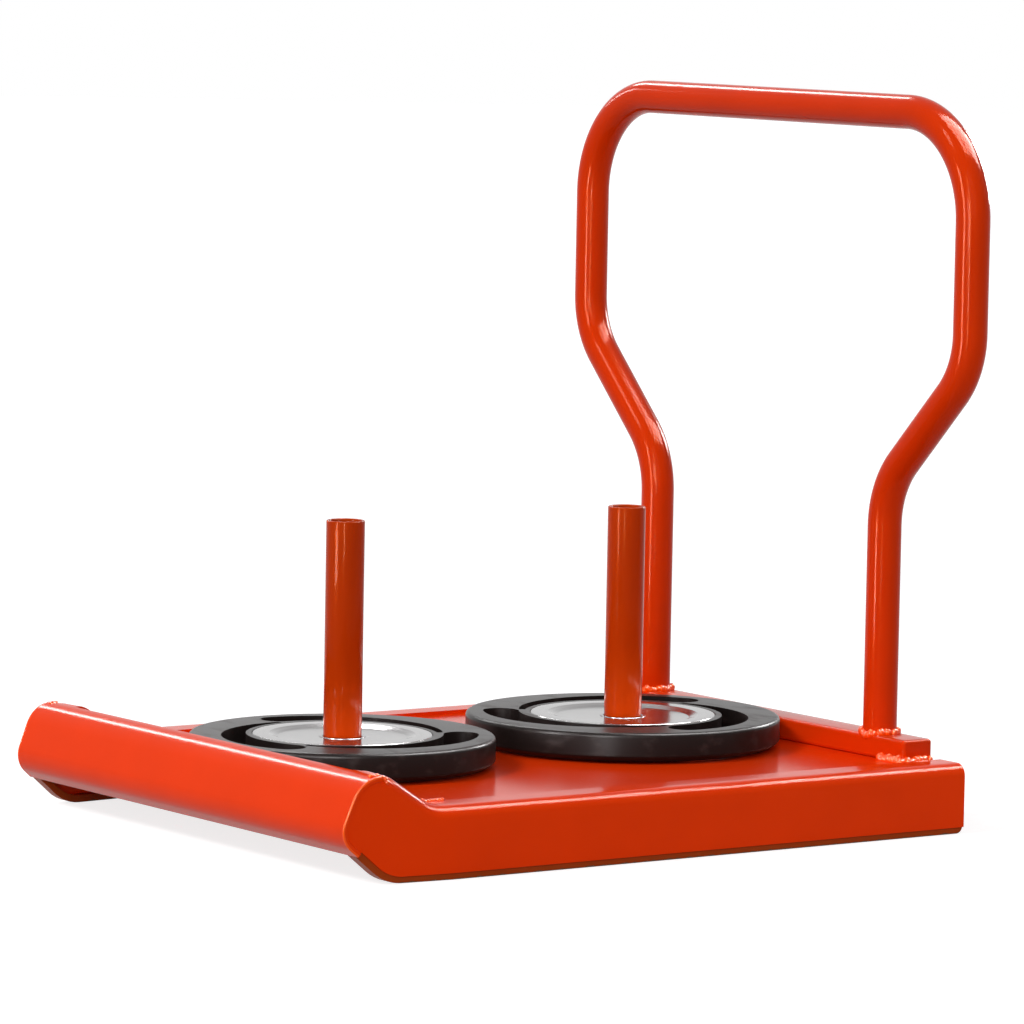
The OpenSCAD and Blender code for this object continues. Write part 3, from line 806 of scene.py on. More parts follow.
class WeldBead(PathTree):
    """A weld: flattened drops that overlap along a path."""

    name = "weld_bead"
    sizes = {"Spacing": "NodeSocketFloat", "Bead": "NodeSocketVector", "Wander": "NodeSocketFloat",
             "Seed": "NodeSocketInt"}

    def stray(self, low: Point, high: Point) -> Socket:
        """A random vector for each drop, between two corners."""
        values = {"Min": low, "Max": high, "Seed": self.given["Seed"]}
        return self.desk.add("FunctionNodeRandomValue", values, data_type="FLOAT_VECTOR").outputs[0]

    def grow(self, curve: Socket) -> Socket:
        """Sets drops along the curve, each a little different."""
        desk, given = self.desk, self.given
        evenly = desk.add("GeometryNodeResampleCurve", {"Curve": curve, "Length": given["Spacing"]},
                          mode="LENGTH")
        shift = desk.add("ShaderNodeVectorMath", {0: self.stray((-1.0, -1.0, -1.0), (1.0, 1.0, 1.0)),
                                                  "Scale": given["Wander"]}, operation="SCALE")
        moved = desk.add("GeometryNodeSetPosition", {0: evenly.outputs[0], "Offset": shift.outputs[0]})
        drop = desk.add("GeometryNodeMeshIcoSphere", {"Radius": 1.0, "Subdivisions": 3})
        soft = desk.add("GeometryNodeSetShadeSmooth", {0: drop.outputs[0]})
        tangent = desk.add("GeometryNodeInputTangent").outputs[0]
        along = desk.add("FunctionNodeAlignRotationToVector", {"Vector": tangent}, axis="X")
        vary = self.stray((0.85, 0.88, 0.85), (1.12, 1.1, 1.12))
        size = desk.add("ShaderNodeVectorMath", {0: given["Bead"], 1: vary}, operation="MULTIPLY")
        drops = {"Points": moved, "Instance": soft, "Rotation": along, "Scale": size}
        return desk.add("GeometryNodeInstanceOnPoints",
                        {key: node.outputs[0] for key, node in drops.items()}).outputs[0]


# ---------------------------------------------------------------------------------------------
# The sled's shape
# ---------------------------------------------------------------------------------------------


@dataclass(frozen=True)
class SledLines:
    """The sizes that the sled's pieces share, in millimetres and degrees."""

    rear_x: float = -480.0
    half_width: float = 402.0
    rail_top: float = 91.0
    plate: float = 5.0
    flange: float = 52.0
    edge: float = 16.0
    toe_in: float = 5.5
    toe_radius: float = 170.0
    toe_gap: float = 2.0
    ridge: Flat = (427.26, 92.0)
    ridge_radius: float = 42.0
    lip: Flat = (450.0, 67.75)
    lip_radius: float = 30.0
    face_turn: float = 22.0
    sheet: float = 6.0
    under_angle: float = 40.4
    under_length: float = 14.0
    rise_angle: float = 34.0
    rise_radius: float = 60.0
    rise_height: float = 151.0
    ridge_u: float = 96.94
    ground_x: float = 416.67
    edge_along: float = 55.29
    skid_height: float = 9.5
    skid_radius: float = 60.0
    toe: Flat = (314.48, 232.0)

    @property
    def skid_bend_x(self) -> float:
        """Where the skid starts to turn up."""
        return self.ground_x - self.skid_radius * math.tan(math.radians(self.under_angle) / 2)

    def cheek_point(self, u: float, out: float, z: float) -> Point:
        """A point given along the cheek, outward and up."""
        t = math.radians(self.toe_in)
        return (self.toe[0] + u * math.cos(t) + out * math.sin(t),
                self.toe[1] - u * math.sin(t) + out * math.cos(t), z)

    def wall_y(self, x: float, depth: float) -> float:
        """How far out the wall stands at x, at a depth behind its outer face."""
        t = math.radians(self.toe_in)
        radius, along = self.toe_radius - depth, x - self.toe[0]
        if along <= 0:
            return self.toe[1] + radius
        if along <= radius * math.sin(t):
            return self.toe[1] + math.sqrt(radius * radius - along * along)
        return self.toe[1] + radius / math.cos(t) - along * math.tan(t)

    def slope_point(self, along: float, height: float) -> Flat:
        """A point on the slope under the nose, along it from the floor and above it."""
        a = math.radians(self.under_angle)
        return (self.ground_x + along * math.cos(a) - height * math.sin(a),
                along * math.sin(a) + height * math.cos(a))

    def skid_top(self, x: float) -> float:
        """Height of the skid's upper face at x."""
        a, start = math.radians(self.under_angle), self.skid_bend_x
        radius = self.skid_radius - self.skid_height
        if x <= start:
            return self.skid_height
        if x <= start + radius * math.sin(a):
            return self.skid_radius - math.sqrt(radius * radius - (x - start) ** 2)
        return self.skid_height / math.cos(a) + (x - self.ground_x) * math.tan(a)

    def nose_line(self, inset: float, start: float, under: float) -> list[Flat]:
        """The nose sheet's line from the ridge round to its lower edge.

        Args:
            inset: Depth under the outer face.
            start: Direction from the ridge's centre at which the line starts.
            under: Length of the straight part that turns under.

        Returns:
            Points in X and Z.
        """
        line = arc(self.ridge, self.ridge_radius - inset, start, self.face_turn, 18)
        line += arc(self.lip, self.lip_radius - inset, self.face_turn, self.under_angle - 90, 16)
        a, (x, z) = math.radians(self.under_angle), line[-1]
        return line + [(x - under * f * math.cos(a), z - under * f * math.sin(a)) for f in (0.5, 1.0)]


@dataclass
class NoseSheet:
    """The rolled sheet that forms the raised nose."""

    lines: SledLines
    reveal: float = 3.4
    lap: float = 9.0
    tab_start: float = 330.0
    tab_end: float = 350.0
    edge_inset: float = 1.3
    edge_radius: float = 1.7

    def start_turn(self, y: float) -> float:
        """Direction at which the sheet starts over the ridge, at a distance from the middle."""
        lines = self.lines
        if y <= self.tab_start:
            return 90.0
        if y <= self.tab_end:
            return 90.0 + self.lap
        t = math.radians(lines.toe_in)
        out = (y - lines.toe[1] + lines.ridge_u * math.sin(t)) / math.cos(t)
        x = lines.toe[0] + lines.ridge_u * math.cos(t) + out * math.sin(t)
        return 90.0 + math.degrees(math.asin(max(0.0, lines.ridge[0] - x) / lines.ridge_radius))

    def row(self, y: float, share: float | None, inset: float) -> list[Point]:
        """One line of the sheet from ridge to lower edge.

        Args:
            y: Distance from the middle, without sign.
            share: Past the tab, how far the row lies towards the sheet's end.
            inset: Depth under the outer face.

        Returns:
            The row's points, on the left side.
        """
        lines = self.lines

        def side(x: float) -> float:
            """The row's distance from the middle at x."""
            if share is None:
                return y
            return self.tab_end + share * (lines.wall_y(x, -self.reveal) - self.tab_end)

        start = self.start_turn(side(lines.ridge[0]))
        return [(x, side(x), z) for x, z in lines.nose_line(inset, start, lines.under_length)]

    def build(self, shop: PaintShop) -> None:
        """Makes the sheet."""
        flat = (0.0, 165.0, self.tab_start - 0.5, self.tab_start + 0.5, self.tab_end)
        half = [(y, None) for y in flat] + [(0.0, share) for share in (0.05, 0.4, 0.75, 1.0)]
        grids = []
        for inset in (0.0, self.lines.sheet):
            left = [self.row(y, share, inset) for y, share in half]
            right = [[(x, -y, z) for x, y, z in row] for row in left[:0:-1]]
            grids.append(np.array(right + left))
        draft = Draft()
        draft.shell(*grids)
        piece = draft.piece("nose_sheet_rolled", shop["sled_paint"], 2.8, 4)
        seat(piece, Body.SLED, Slot.FRAME, "nose_sheet")

    def build_edges(self, shop: PaintShop, tube: BentTube) -> None:
        """Lays a rounded line along the sheet's two end edges, in a lighter paint that is a painted
        highlight on the rim.
        """
        lines = self.lines
        line = lines.nose_line(self.edge_inset, 88.0, lines.under_length - 1.0)
        path = np.array([(x, lines.wall_y(x, self.edge_inset - self.reveal), z) for x, z in line])
        for side in Side:
            # The lighter paint of this rounded line is a painted highlight on the sheet's rim.
            piece = tube.run(f"nose_edge_paint_{side.label}", [path * side.flip], shop["edge_paint"],
                             tube_radius=self.edge_radius * MM, segments=12)
            seat(piece, Body.SLED, Slot.FRAME)


@dataclass
class SideMember:
    """One rail: flange, rounded edge, wall, rise to the ridge and flat cheek."""

    lines: SledLines
    side: Side
    edge_steps: int = 10
    wall_rows: int = 4
    slope_steps: int = 9
    bite: float = 1.0

    def profile(self, thick: float) -> list[Flat]:
        """Flange and rounded edge, as distance from the toe's bend and depth under the top."""
        lines = self.lines
        start, small = lines.toe_radius - lines.edge, lines.edge - thick
        spans = [(lines.toe_radius - lines.flange, thick), (start - 10.0, thick)]
        for a in np.linspace(0.0, math.pi / 2, self.edge_steps + 1):
            spans.append((start + small * math.sin(a), lines.edge - small * math.cos(a)))
        return spans

    def section(self, centre: Flat, sense: int, turn: float, thick: float) -> list[Point]:
        """Flange and rounded edge on the rise.

        Args:
            centre: Centre of the rise's bend, along and up.
            sense: 1 over the crest, -1 in the foot.
            turn: The bend's turn at this section, in degrees.
            thick: Depth under the outer face.

        Returns:
            Points along, outward and up, from the flange's free edge to the wall.
        """
        top = self.lines.ridge_radius if sense > 0 else self.lines.rise_radius
        t = math.radians(turn)
        points = []
        for out, depth in self.profile(thick):
            r = sense * top - depth
            points.append((centre[0] - r * math.sin(t), out, centre[1] + r * math.cos(t)))
        return points

    def wall(self, top: Point) -> list[Point]:
        """Points of the wall under a point of the rounded edge, down to the skid."""
        foot = self.lines.skid_top(top[0]) - self.bite
        return [(top[0], top[1], top[2] + (foot - top[2]) * k / self.wall_rows)
                for k in range(1, self.wall_rows + 1)]

    def stations(self, thick: float) -> list[list[Point]]:
        """Sections of the rail from the rear to the ridge, for the outer or the inner face."""
        lines = self.lines
        toe_x, toe_y = lines.toe
        level = [(out, lines.rail_top - depth) for out, depth in self.profile(thick)]
        straight = (lines.rear_x, -240.0, 0.0, 200.0, toe_x)
        stations = [[(x, toe_y + r, z) for r, z in level] for x in straight]
        for k in range(1, 9):
            t = math.radians(lines.toe_in * k / 8)
            stations.append([(toe_x + r * math.sin(t), toe_y + r * math.cos(t), z) for r, z in level])
        foot, crest = (lines.toe_gap, lines.rise_height), (lines.ridge_u, lines.ridge[1])
        rise = [self.section(foot, -1, lines.rise_angle * k / 12, thick) for k in range(13)]
        over = [self.section(crest, 1, lines.rise_angle * (1 - k / 14), thick) for k in range(15)]
        start, way = np.array(rise[-1]), np.array(over[0]) - np.array(rise[-1])
        slope = [start + way * k / self.slope_steps for k in range(1, self.slope_steps)]
        for section in (*rise, *slope, *over):
            stations.append([lines.cheek_point(*point) for point in section])
        return [section + self.wall(section[-1]) for section in stations]

    def cheek(self, thick: float, first: list[Point]) -> list[list[Point]]:
        """Sections of the flat cheek from the ridge to the front, seated on those of the wall.

        Args:
            thick: Depth under the outer face.
            first: The wall's points where the cheek starts, from top to foot.

        Returns:
            The cheek's sections.
        """
        lines = self.lines
        t = math.radians(lines.toe_in)
        inner = lines.nose_line(lines.sheet, 90.0, lines.under_length)
        top_z = lines.ridge[1] + lines.ridge_radius - lines.sheet
        high, low = first[0], first[-1]
        rows = [(high[0], high[1], top_z), (high[0], high[1], (top_z + high[2]) / 2), *first]
        shares = [(top_z - p[2]) / (top_z - low[2]) for p in rows]
        end_x = lines.slope_point(lines.edge_along - 0.5, lines.skid_height)[0]
        out = [rows]
        for k, (x, z) in enumerate(inner[1:], 1):
            base_x = low[0] + k / (len(inner) - 1) * (end_x - low[0])
            base_z = lines.skid_top(base_x) - self.bite
            line = []
            for s in shares:
                px, pz = x + s * (base_x - x), z + s * (base_z - z)
                line.append((px - thick * math.sin(t), lines.wall_y(px, 0.0) - thick * math.cos(t), pz))
            out.append(line)
        return out

    def build(self, shop: PaintShop) -> None:
        """Makes the rail with its cheek."""
        outer, inner = self.stations(0.0), self.stations(self.lines.plate)
        columns = len(outer[0])
        first_wall = columns - self.wall_rows - 1
        draft = Draft()
        draft.shell(np.array(outer), np.array(inner), skip_end=set(range(first_wall, columns - 1)))
        near = self.cheek(0.0, outer[-1][first_wall:])
        far = self.cheek(self.lines.plate, inner[-1][first_wall:])
        draft.shell(np.array(near), np.array(far), skip_start={k + 2 for k in range(self.wall_rows)})
        label = self.side.label
        piece = draft.piece(f"side_rail_{label}", shop["sled_paint"], 0.9, 2, self.side is Side.RIGHT)
        seat(piece, Body.SLED, Slot.FRAME, f"side_member_{label}")


@dataclass
class Skid:
    """One runner: a flat bar that turns up under the nose."""

    lines: SledLines
    side: Side
    width: float = 18.0
    inset: float = 3.0
    gap: float = 0.5

    def outline(self) -> tuple[list[Flat], list[Flat]]:
        """Lower and upper line of the bar, in X and Z."""
        lines = self.lines
        h = lines.skid_height
        low = []
        for k, a in enumerate(np.linspace(0.0, math.pi / 2, 9)):
            low.append((lines.rear_x + h * (1 - math.cos(a)) + 0.01 * k,
                        min(h - 0.3, h * (1 - math.sin(a)))))
        toe_x = lines.toe[0]
        low += [(x, 0.0) for x in (0.0, toe_x, toe_x + 8.0, toe_x + 16.0, lines.skid_bend_x)]
        high = [(x, h) for x, _ in low]
        bend, end = (lines.skid_bend_x, lines.skid_radius), lines.edge_along - self.gap
        for line, height in ((low, 0.0), (high, h)):
            line += arc(bend, lines.skid_radius - height, 270, 270 + lines.under_angle, 13)[1:]
            line.append(lines.slope_point(end, height))
        return low, high

    def build(self, shop: PaintShop) -> None:
        """Makes the bar."""
        depths = (self.inset, self.inset + self.width / 2, self.inset + self.width)
        faces = [np.array([[(x, self.lines.wall_y(x, d), z) for d in depths] for x, z in line])
                 for line in self.outline()]
        draft = Draft()
        draft.shell(*faces)
        label = self.side.label
        piece = draft.piece(f"runner_{label}", shop["runner_paint"], 0.9, 2, self.side is Side.RIGHT)
        seat(piece, Body.SLED, Slot.SKID, f"skid_{label}")


@dataclass
class Deck:
    """The flat deck with its folded rear edge and the two holes for the posts."""

    lines: SledLines
    posts: Flat
    fold: float = 9.0
    drop: float = 46.0
    front_x: float = 468.2
    side_gap: float = 16.5
    hole: float = 25.0
    drill_reach: float = 20.0

    def build(self, shop: PaintShop) -> None:
        """Makes the plate and drills it."""
        lines = self.lines
        top = lines.rail_top - lines.plate
        centre = (lines.rear_x + self.fold, top - self.fold)
        bends = (self.front_x, lines.ridge[0] - 20.0, lines.toe[0] + 16.0, lines.toe[0], 0.0)
        grids = []
        for depth in (0.0, lines.plate):
            line = [(x, top - depth) for x in bends] + arc(centre, self.fold - depth, 90, 180, 9)
            line.append((lines.rear_x + depth, self.drop))
            grids.append(np.array([[(x, side * lines.wall_y(x, self.side_gap), z)
                                    for side in (-1.0, 0.0, 1.0)] for x, z in line]))
        draft = Draft()
        draft.shell(*grids)
        deck = draft.piece("deck_sheet", shop["sled_paint"])
        cutter = Draft()
        for x in self.posts:
            cutter.prism(ring(x, self.hole, 0.0, 64), top - self.drill_reach, top + self.drill_reach)
        cut_out(deck, cutter, shop["sled_paint"])
        round_edges(deck, 0.6)
        seat(deck, Body.SLED, Slot.FRAME, "deck_plate")


def cut_out(thing: Object, cutter: Draft, material: Material) -> None:
    """Cuts a closed shape out of an object.

    Args:
        thing: The object.
        cutter: The shape, not yet made.
        material: A finish for the cutter, the same as the object's.
    """
    tool = cutter.piece("cutter", material)
    cut = thing.modifiers.new("cut", "BOOLEAN")
    cut.operation = "DIFFERENCE"
    cut.solver = "EXACT"
    cut.object = tool
    settle(thing)
    bpy.data.objects.remove(tool)


@dataclass
class Crossbar:
    """The rectangular tube across the rear, with its end plates."""

    x: float = -456.0
    low: float = 86.0
    depth: float = 48.0
    height: float = 30.0
    half: float = 333.0
    wall: float = 3.0
    corner: float = 5.0
    cap_depth: float = 5.4
    cap_round: float = 4.7

    @property
    def top(self) -> float:
        """Height of its upper face."""
        return self.low + self.height

    @property
    def front(self) -> float:
        """Place of its front face."""
        return self.x + self.depth / 2

    def outline(self, inset: float) -> list[Flat]:
        """The tube's rounded outline in X and Z."""
        w, h, r = self.depth / 2 - inset, self.height / 2 - inset, self.corner - inset
        z = self.low + self.height / 2
        return rounded_loop([(self.x + sx * w, z + sz * h, r)
                             for sx, sz in ((1, 1), (-1, 1), (-1, -1), (1, -1))], 8)

    def surface(self, x: float) -> float:
        """Height of the upper face at x, with its rounded edges."""
        over = abs(x - self.x) - (self.depth / 2 - self.corner)
        if over <= 0:
            return self.top
        return self.top - self.corner + math.sqrt(max(0.0, self.corner ** 2 - over ** 2))

    def loop(self, y: float, inset: float) -> list[Point]:
        """The outline at a distance from the middle."""
        return [(x, y, z) for x, z in self.outline(inset)]

    def build(self, shop: PaintShop) -> None:
        """Makes the tube and its end plates."""
        reach = self.half - self.cap_depth
        rings = [self.loop(-reach, 0.0), self.loop(reach, 0.0), self.loop(reach, self.wall),
                 self.loop(-reach, self.wall)]
        draft = Draft()
        draft.skin(draft.grid(np.array(rings)), (True, True))
        # The crossbar and its end plates take the darker tube paint, which is painted shade.
        tube = draft.piece("rear_crossbar", shop["tube_paint"], smooth=50)
        seat(tube, Body.SLED, Slot.FRAME, "crossbar")
        loops = [self.loop(reach, 0.0)]
        for a in np.linspace(0.0, math.pi / 2, 7):
            loops.append(self.loop(self.half - self.cap_round * (1.0 - math.sin(a)),
                                   self.cap_round * (1.0 - math.cos(a))))
        for side in Side:
            cap = Draft()
            numbers = cap.grid(np.array(loops))
            cap.skin(numbers, (False, True))
            cap.face(numbers[0])
            cap.face(numbers[-1][::-1])
            piece = cap.piece(f"crossbar_end_{side.label}", shop["tube_paint"],
                              mirror=side is Side.RIGHT, smooth=50)
            seat(piece, Body.SLED, Slot.FRAME, f"crossbar_cap_{side.label}")


@dataclass
class Handle:
    """The tall handle: one round tube bent in its own plane."""

    x: float = -456.0
    foot: float = 111.3
    radius: float = 22.5
    lower: float = 252.0
    upper: float = 419.0
    knee_low: float = 441.0
    knee_high: float = 606.0
    top: float = 934.0
    low_radius: float = 120.0
    high_radius: float = 114.0
    corner: float = 137.0
    segments: int = 56

    def half_path(self) -> list[Flat]:
        """Centre line of one half, in Y and Z, from the foot to the top bar."""
        lean = math.degrees(math.atan2(self.upper - self.lower, self.knee_high - self.knee_low))
        step = math.tan(math.radians(lean) / 2)
        low = (self.lower + self.low_radius, self.knee_low - self.low_radius * step)
        high = (self.upper - self.high_radius, self.knee_high + self.high_radius * step)
        end = (self.upper - self.corner, self.top - self.corner)
        return [(self.lower, self.foot), (self.lower, 250.0),
                *arc(low, self.low_radius, 180, 180 - lean, 17),
                *arc(high, self.high_radius, -lean, 0, 17), *arc(end, self.corner, 0, 90, 29)]

    def build(self, shop: PaintShop, tube: BentTube) -> None:
        """Makes the tube."""
        half = self.half_path()
        whole = half + [(0.0, self.top)] + [(-y, z) for y, z in half[::-1]]
        path = np.array([(self.x, y, z) for y, z in whole])
        # The handle takes the darker tube paint, which is painted shade.
        piece = tube.run("handle_hoop", [path], shop["tube_paint"], tube_radius=self.radius * MM,
                         segments=self.segments)
        seat(piece, Body.SLED, Slot.HANDLE, "handle_tube")


@dataclass
class Post:
    """An upright open tube that takes the plates."""

    name: str
    x: float
    radius: float = 25.0
    relief: float = 0.3
    wall: float = 4.0
    bottom: float = 59.0
    foot_top: float = 132.0
    top: float = 403.0
    rim: float = 1.9
    segments: int = 112

    def build(self, shop: PaintShop) -> None:
        """Makes the tube with its rounded rim."""
        bore = self.radius - self.wall
        foot = self.radius - self.relief
        profile = rounded_loop([(bore, self.bottom, 0.6), (foot, self.bottom, 0.8),
                                (foot, self.foot_top, 0.0), (self.radius, self.foot_top + 0.4, 0.0),
                                (self.radius, self.top, self.rim), (bore, self.top, self.rim)], 8)
        draft = Draft()
        draft.lathe(profile, self.x, self.segments)
        # The posts take the darker post paint, which is painted shade.
        piece = draft.piece(f"plate_post_{self.name}", shop["post_paint"])
        seat(piece, Body.SLED, Slot.POST, f"post_{self.name}")


@dataclass
class WeightPlate:
    """A round plate: rubber body with three sweeping grips, steel disc and bush."""

    name: str
    body: Body
    x: float
    radius: float
    turn: float
    mirrored: bool
    low: float = 89.0
    high: float = 127.0
    edge: float = 6.0
    chamfer: Flat = (8.0, 6.5)
    disc_share: float = 0.59
    dish_shares: Flat = (0.48, 0.42)
    rest: float = 86.2
    dish: float = 4.0
    bore: float = 25.5
    bush: float = 5.0
    bush_rise: float = 0.6
    sweep: float = 114.0
    outer_shares: Point = (0.89, 0.79, 0.665)
    inner_shares: Point = (0.66, 0.63, 0.625)
    end_share: float = 0.775
    end_size: float = 0.115

    def grip(self, turn: float) -> np.ndarray:
        """Outline of one grip.

        Args:
            turn: Its direction about the post, in degrees.

        Returns:
            The outline's corners at height 0.
        """
        r = self.radius
        turns = (0.0, self.sweep / 2, self.sweep)
        outer, inner = ([polar((0, 0), r * share, d) for share, d in zip(shares, turns)]
                        for shares in (self.outer_shares, self.inner_shares))
        end = arc((self.end_share * r, 0.0), self.end_size * r, 180, 360, 17)[1:-1]
        points = np.array(arc_through(outer, 40) + arc_through(inner, 40)[::-1] + end)
        if self.mirrored:
            points[:, 1] *= -1
        points = points @ spin(math.radians(turn)).T
        return np.column_stack([points[:, 0] + self.x, points[:, 1], np.zeros(len(points))])

    def turned(self, name: str, finish: Material, profile: list[Flat], segments: int) -> Object:
        """Makes one part of the plate from its profile."""
        draft = Draft()
        draft.lathe(profile, self.x, segments)
        return draft.piece(f"{name}_{self.name}", finish)

    def build_rubber(self, shop: PaintShop) -> None:
        """Makes the rubber body and cuts its grips."""
        disc = self.radius * self.disc_share
        profile = rounded_loop([(disc, self.low, 0.6), (self.radius - self.chamfer[0], self.low, 1.5),
                                (self.radius, self.low + self.chamfer[1], 3.5),
                                (self.radius, self.high, self.edge), (disc, self.high, 1.0)], 9)
        rubber = self.turned("rubber", shop["plate_rubber"], profile, 160)
        cutter = Draft()
        for k in range(3):
            cutter.prism(self.grip(self.turn + 120 * k), self.low - 10.0, self.high + 10.0)
        cut_out(rubber, cutter, shop["plate_rubber"])
        round_edges(rubber, 1.1, 2, 60)
        seat(rubber, self.body, Slot.RUBBER, f"plate_{self.name}_body")

    def build_steel(self, shop: PaintShop) -> None:
        """Makes the dished disc and its bush."""
        disc = self.radius * self.disc_share - 0.05
        hub = self.bore + self.bush
        flat = self.high - self.dish
        top = flat + self.bush_rise
        shoulder, foot = (self.radius * share for share in self.dish_shares)
        face = rounded_loop([(hub, self.rest, 0.0), (disc - 3, self.rest, 0.5),
                             (disc, self.rest + 3, 0.5), (disc, self.high - 1.5, 0.5),
                             (disc - 1.5, self.high, 0.6), (shoulder, self.high, 1.2),
                             (foot, flat, 3.0), (hub, flat, 0.0)])
        sleeve = rounded_loop([(self.bore, self.rest, 0.8), (hub, self.rest, 0.0), (hub, top, 0.5),
                               (self.bore, top, 1.0)])
        for name, part, slot, profile, segments in (("steel_disc", "disc", Slot.STEEL, face, 144),
                                                    ("bush", "bush", Slot.BUSH, sleeve, 112)):
            piece = self.turned(name, shop[f"{self.name}_{part}_steel"], profile, segments)
            seat(piece, self.body, slot, f"plate_{self.name}_{part}")


@dataclass(frozen=True)
class Bead:
    """One weld: its names, its paths and its drops, in millimetres, with a seed for each side."""

    name: str
    nodes: tuple[str, ...]
    paths: list[np.ndarray]
    spacing: float
    size: Point
    wander: float
    seeds: tuple[int, int]
    closed: bool = False
    paint: str = "bead_paint"

    def lay(self, shop: PaintShop, tree: WeldBead, label: str, side: Side = Side.LEFT) -> None:
        """Makes the weld.

        Args:
            shop: The finishes.
            tree: The tree that strews the drops.
            label: How its names end.
            side: The side that it lies on.
        """
        paths = [path * side.flip for path in self.paths]
        piece = tree.run(f"{self.name}_{label}", paths, shop[self.paint], self.closed,
                         spacing=self.spacing * MM, bead=tuple(s * MM for s in self.size),
                         wander=self.wander * MM, seed=self.seeds[side is Side.RIGHT])
        seat(piece, Body.SLED, Slot.WELD, *(f"{node}_{label}" for node in self.nodes))


@dataclass
class Welds:
    """All weld beads of the sled."""

    lines: SledLines
    bar: Crossbar
    handle: Handle
    posts: tuple[Post, Post]
    skid_weld: float = 45.0
    skid_welds: int = 6
    foot_gap: float = 0.9
    foot_lift: float = 1.6
    bar_gap: float = 2.0
    bar_run: float = 47.0
    post_radius: float = 26.4
    post_height: float = 75.2

    def foot_ring(self) -> np.ndarray:
        """The path round a handle's foot, which follows the crossbar's rounded top."""
        path = ring(self.handle.x, self.handle.radius + self.foot_gap, 0.0, 72)
        path[:, 1] += self.handle.lower
        path[:, 2] = [self.bar.surface(x) + self.foot_lift for x in path[:, 0]]
        return path

    def bar_end(self) -> np.ndarray:
        """The path along the crossbar's end and round to its front edge."""
        gap, half, front = self.bar_gap, self.bar.half, self.bar.front
        path = [(front - 40.0, half + gap), (front, half + gap)]
        path += [(front + gap * math.sin(a), half + gap * math.cos(a)) for a in (0.5, 1.0)]
        path += [(front + gap, half - gap), (front + gap - 0.4, half - self.bar_run)]
        return np.array([(x, y, self.bar.low + 2.2) for x, y in path])

    def nose_nick(self) -> np.ndarray:
        """The path along the nick where the rounded edge meets the nose sheet."""
        lines = self.lines
        radius = lines.edge + 1.0
        out, up = lines.toe_radius - lines.edge, lines.ridge[1] + lines.ridge_radius - lines.edge
        path = []
        for ahead, turn in ((9.0, 26.0), (4.5, 28.0), (0.0, 33.0), (-4.5, 42.0), (-8.0, 58.0)):
            t, fall = math.radians(turn), ahead * ahead / (2.0 * lines.ridge_radius)
            path.append(lines.cheek_point(lines.ridge_u + ahead, out + radius * math.sin(t),
                                          up + radius * math.cos(t) - fall))
        return np.array(path)

    def flange_nick(self) -> np.ndarray:
        """The short path at the flange's free edge, where the rise starts."""
        lines = self.lines
        out = lines.toe_radius - lines.flange - 0.6
        path = [lines.cheek_point(u, out, lines.rail_top - 0.2) for u in (-16.0, lines.toe_gap)]
        for turn in (4.0, 8.0, 12.0):
            t = math.radians(turn)
            path.append(lines.cheek_point(lines.toe_gap + (lines.rise_radius + 1.5) * math.sin(t), out,
                                          lines.rise_height - (lines.rise_radius + 0.2) * math.cos(t)))
        return np.array(path)

    def cheek_seam(self) -> np.ndarray:
        """The path in the corner between the cheek and the nose sheet."""
        line = self.lines.nose_line(self.lines.sheet + 0.1, 84.0, self.lines.under_length - 2.0)
        return np.array([(x, self.lines.wall_y(x, 0.3), z) for x, z in line])

    def runner_stitches(self) -> list[np.ndarray]:
        """Short paths in the corner between runner and wall."""
        lines = self.lines
        first = lines.rear_x + 40
        step = (lines.toe[0] - 20 - self.skid_weld - first) / (self.skid_welds - 1)
        y, z = lines.half_width - lines.plate - 1.2, lines.skid_height + 1.2
        return [np.array([(first + i * step + along, y, z) for along in (3, self.skid_weld - 3)])
                for i in range(self.skid_welds)]

    def build(self, shop: PaintShop, tree: WeldBead) -> None:
        """Makes every bead on both sides."""
        for bead in (
            Bead("handle_foot_weld", ("handle_weld",), [self.foot_ring()], 4.8, (4.0, 4.8, 5.6), 1.1,
                 (4, 2), True),
            Bead("crossbar_end_weld", ("crossbar_weld",), [self.bar_end()], 5.2, (5.2, 6.8, 6.8), 1.3,
                 (8, 6)),
            Bead("nose_nick_weld", ("nose_weld",), [self.nose_nick()], 3.4, (3.4, 3.6, 3.6), 0.8,
                 (12, 10)),
        ):
            for side in Side:
                bead.lay(shop, tree, side.label, side)
        small = (
            Bead("cheek_seam_weld", (), [self.cheek_seam()], 1.1, (1.7, 1.7, 1.7), 0.05, (19, 19),
                 paint="sled_paint"),
            Bead("flange_nick_weld", (), [self.flange_nick()], 3.8, (3.4, 3.4, 3.2), 0.8, (29, 29)),
            Bead("runner_stitches", ("skid_welds",), self.runner_stitches(), 3.2, (2.8, 3.0, 3.0), 0.3,
                 (5, 5)),
        )
        for side in Side:
            for bead in small:
                bead.lay(shop, tree, side.label, side)
        for post in self.posts:
            path = ring(post.x, self.post_radius, self.post_height, 48)
            Bead("post_ring_weld", ("post_weld",), [path], 3.4, (2.9, 2.9, 2.9), 0.3, (23, 23),
                 True).lay(shop, tree, post.name)


# ---------------------------------------------------------------------------------------------
# Studio
# ---------------------------------------------------------------------------------------------


def stand(name: str, data: bpy.types.ID, axes: tuple[Vector, Vector, Vector], place: Vector) -> Object:
    """Puts a lamp or the camera in the scene.

    Args:
        name: The object's name.
        data: The lamp or the camera.
        axes: Its right, up and backward directions.
        place: Where it stands, in metres.

    Returns:
        The object.
    """
    thing = bpy.data.objects.new(name, data)
    matrix = Matrix(axes).transposed().to_4x4()
    matrix.translation = place
    thing.matrix_world = matrix
    bpy.context.scene.collection.objects.link(thing)
    return thing


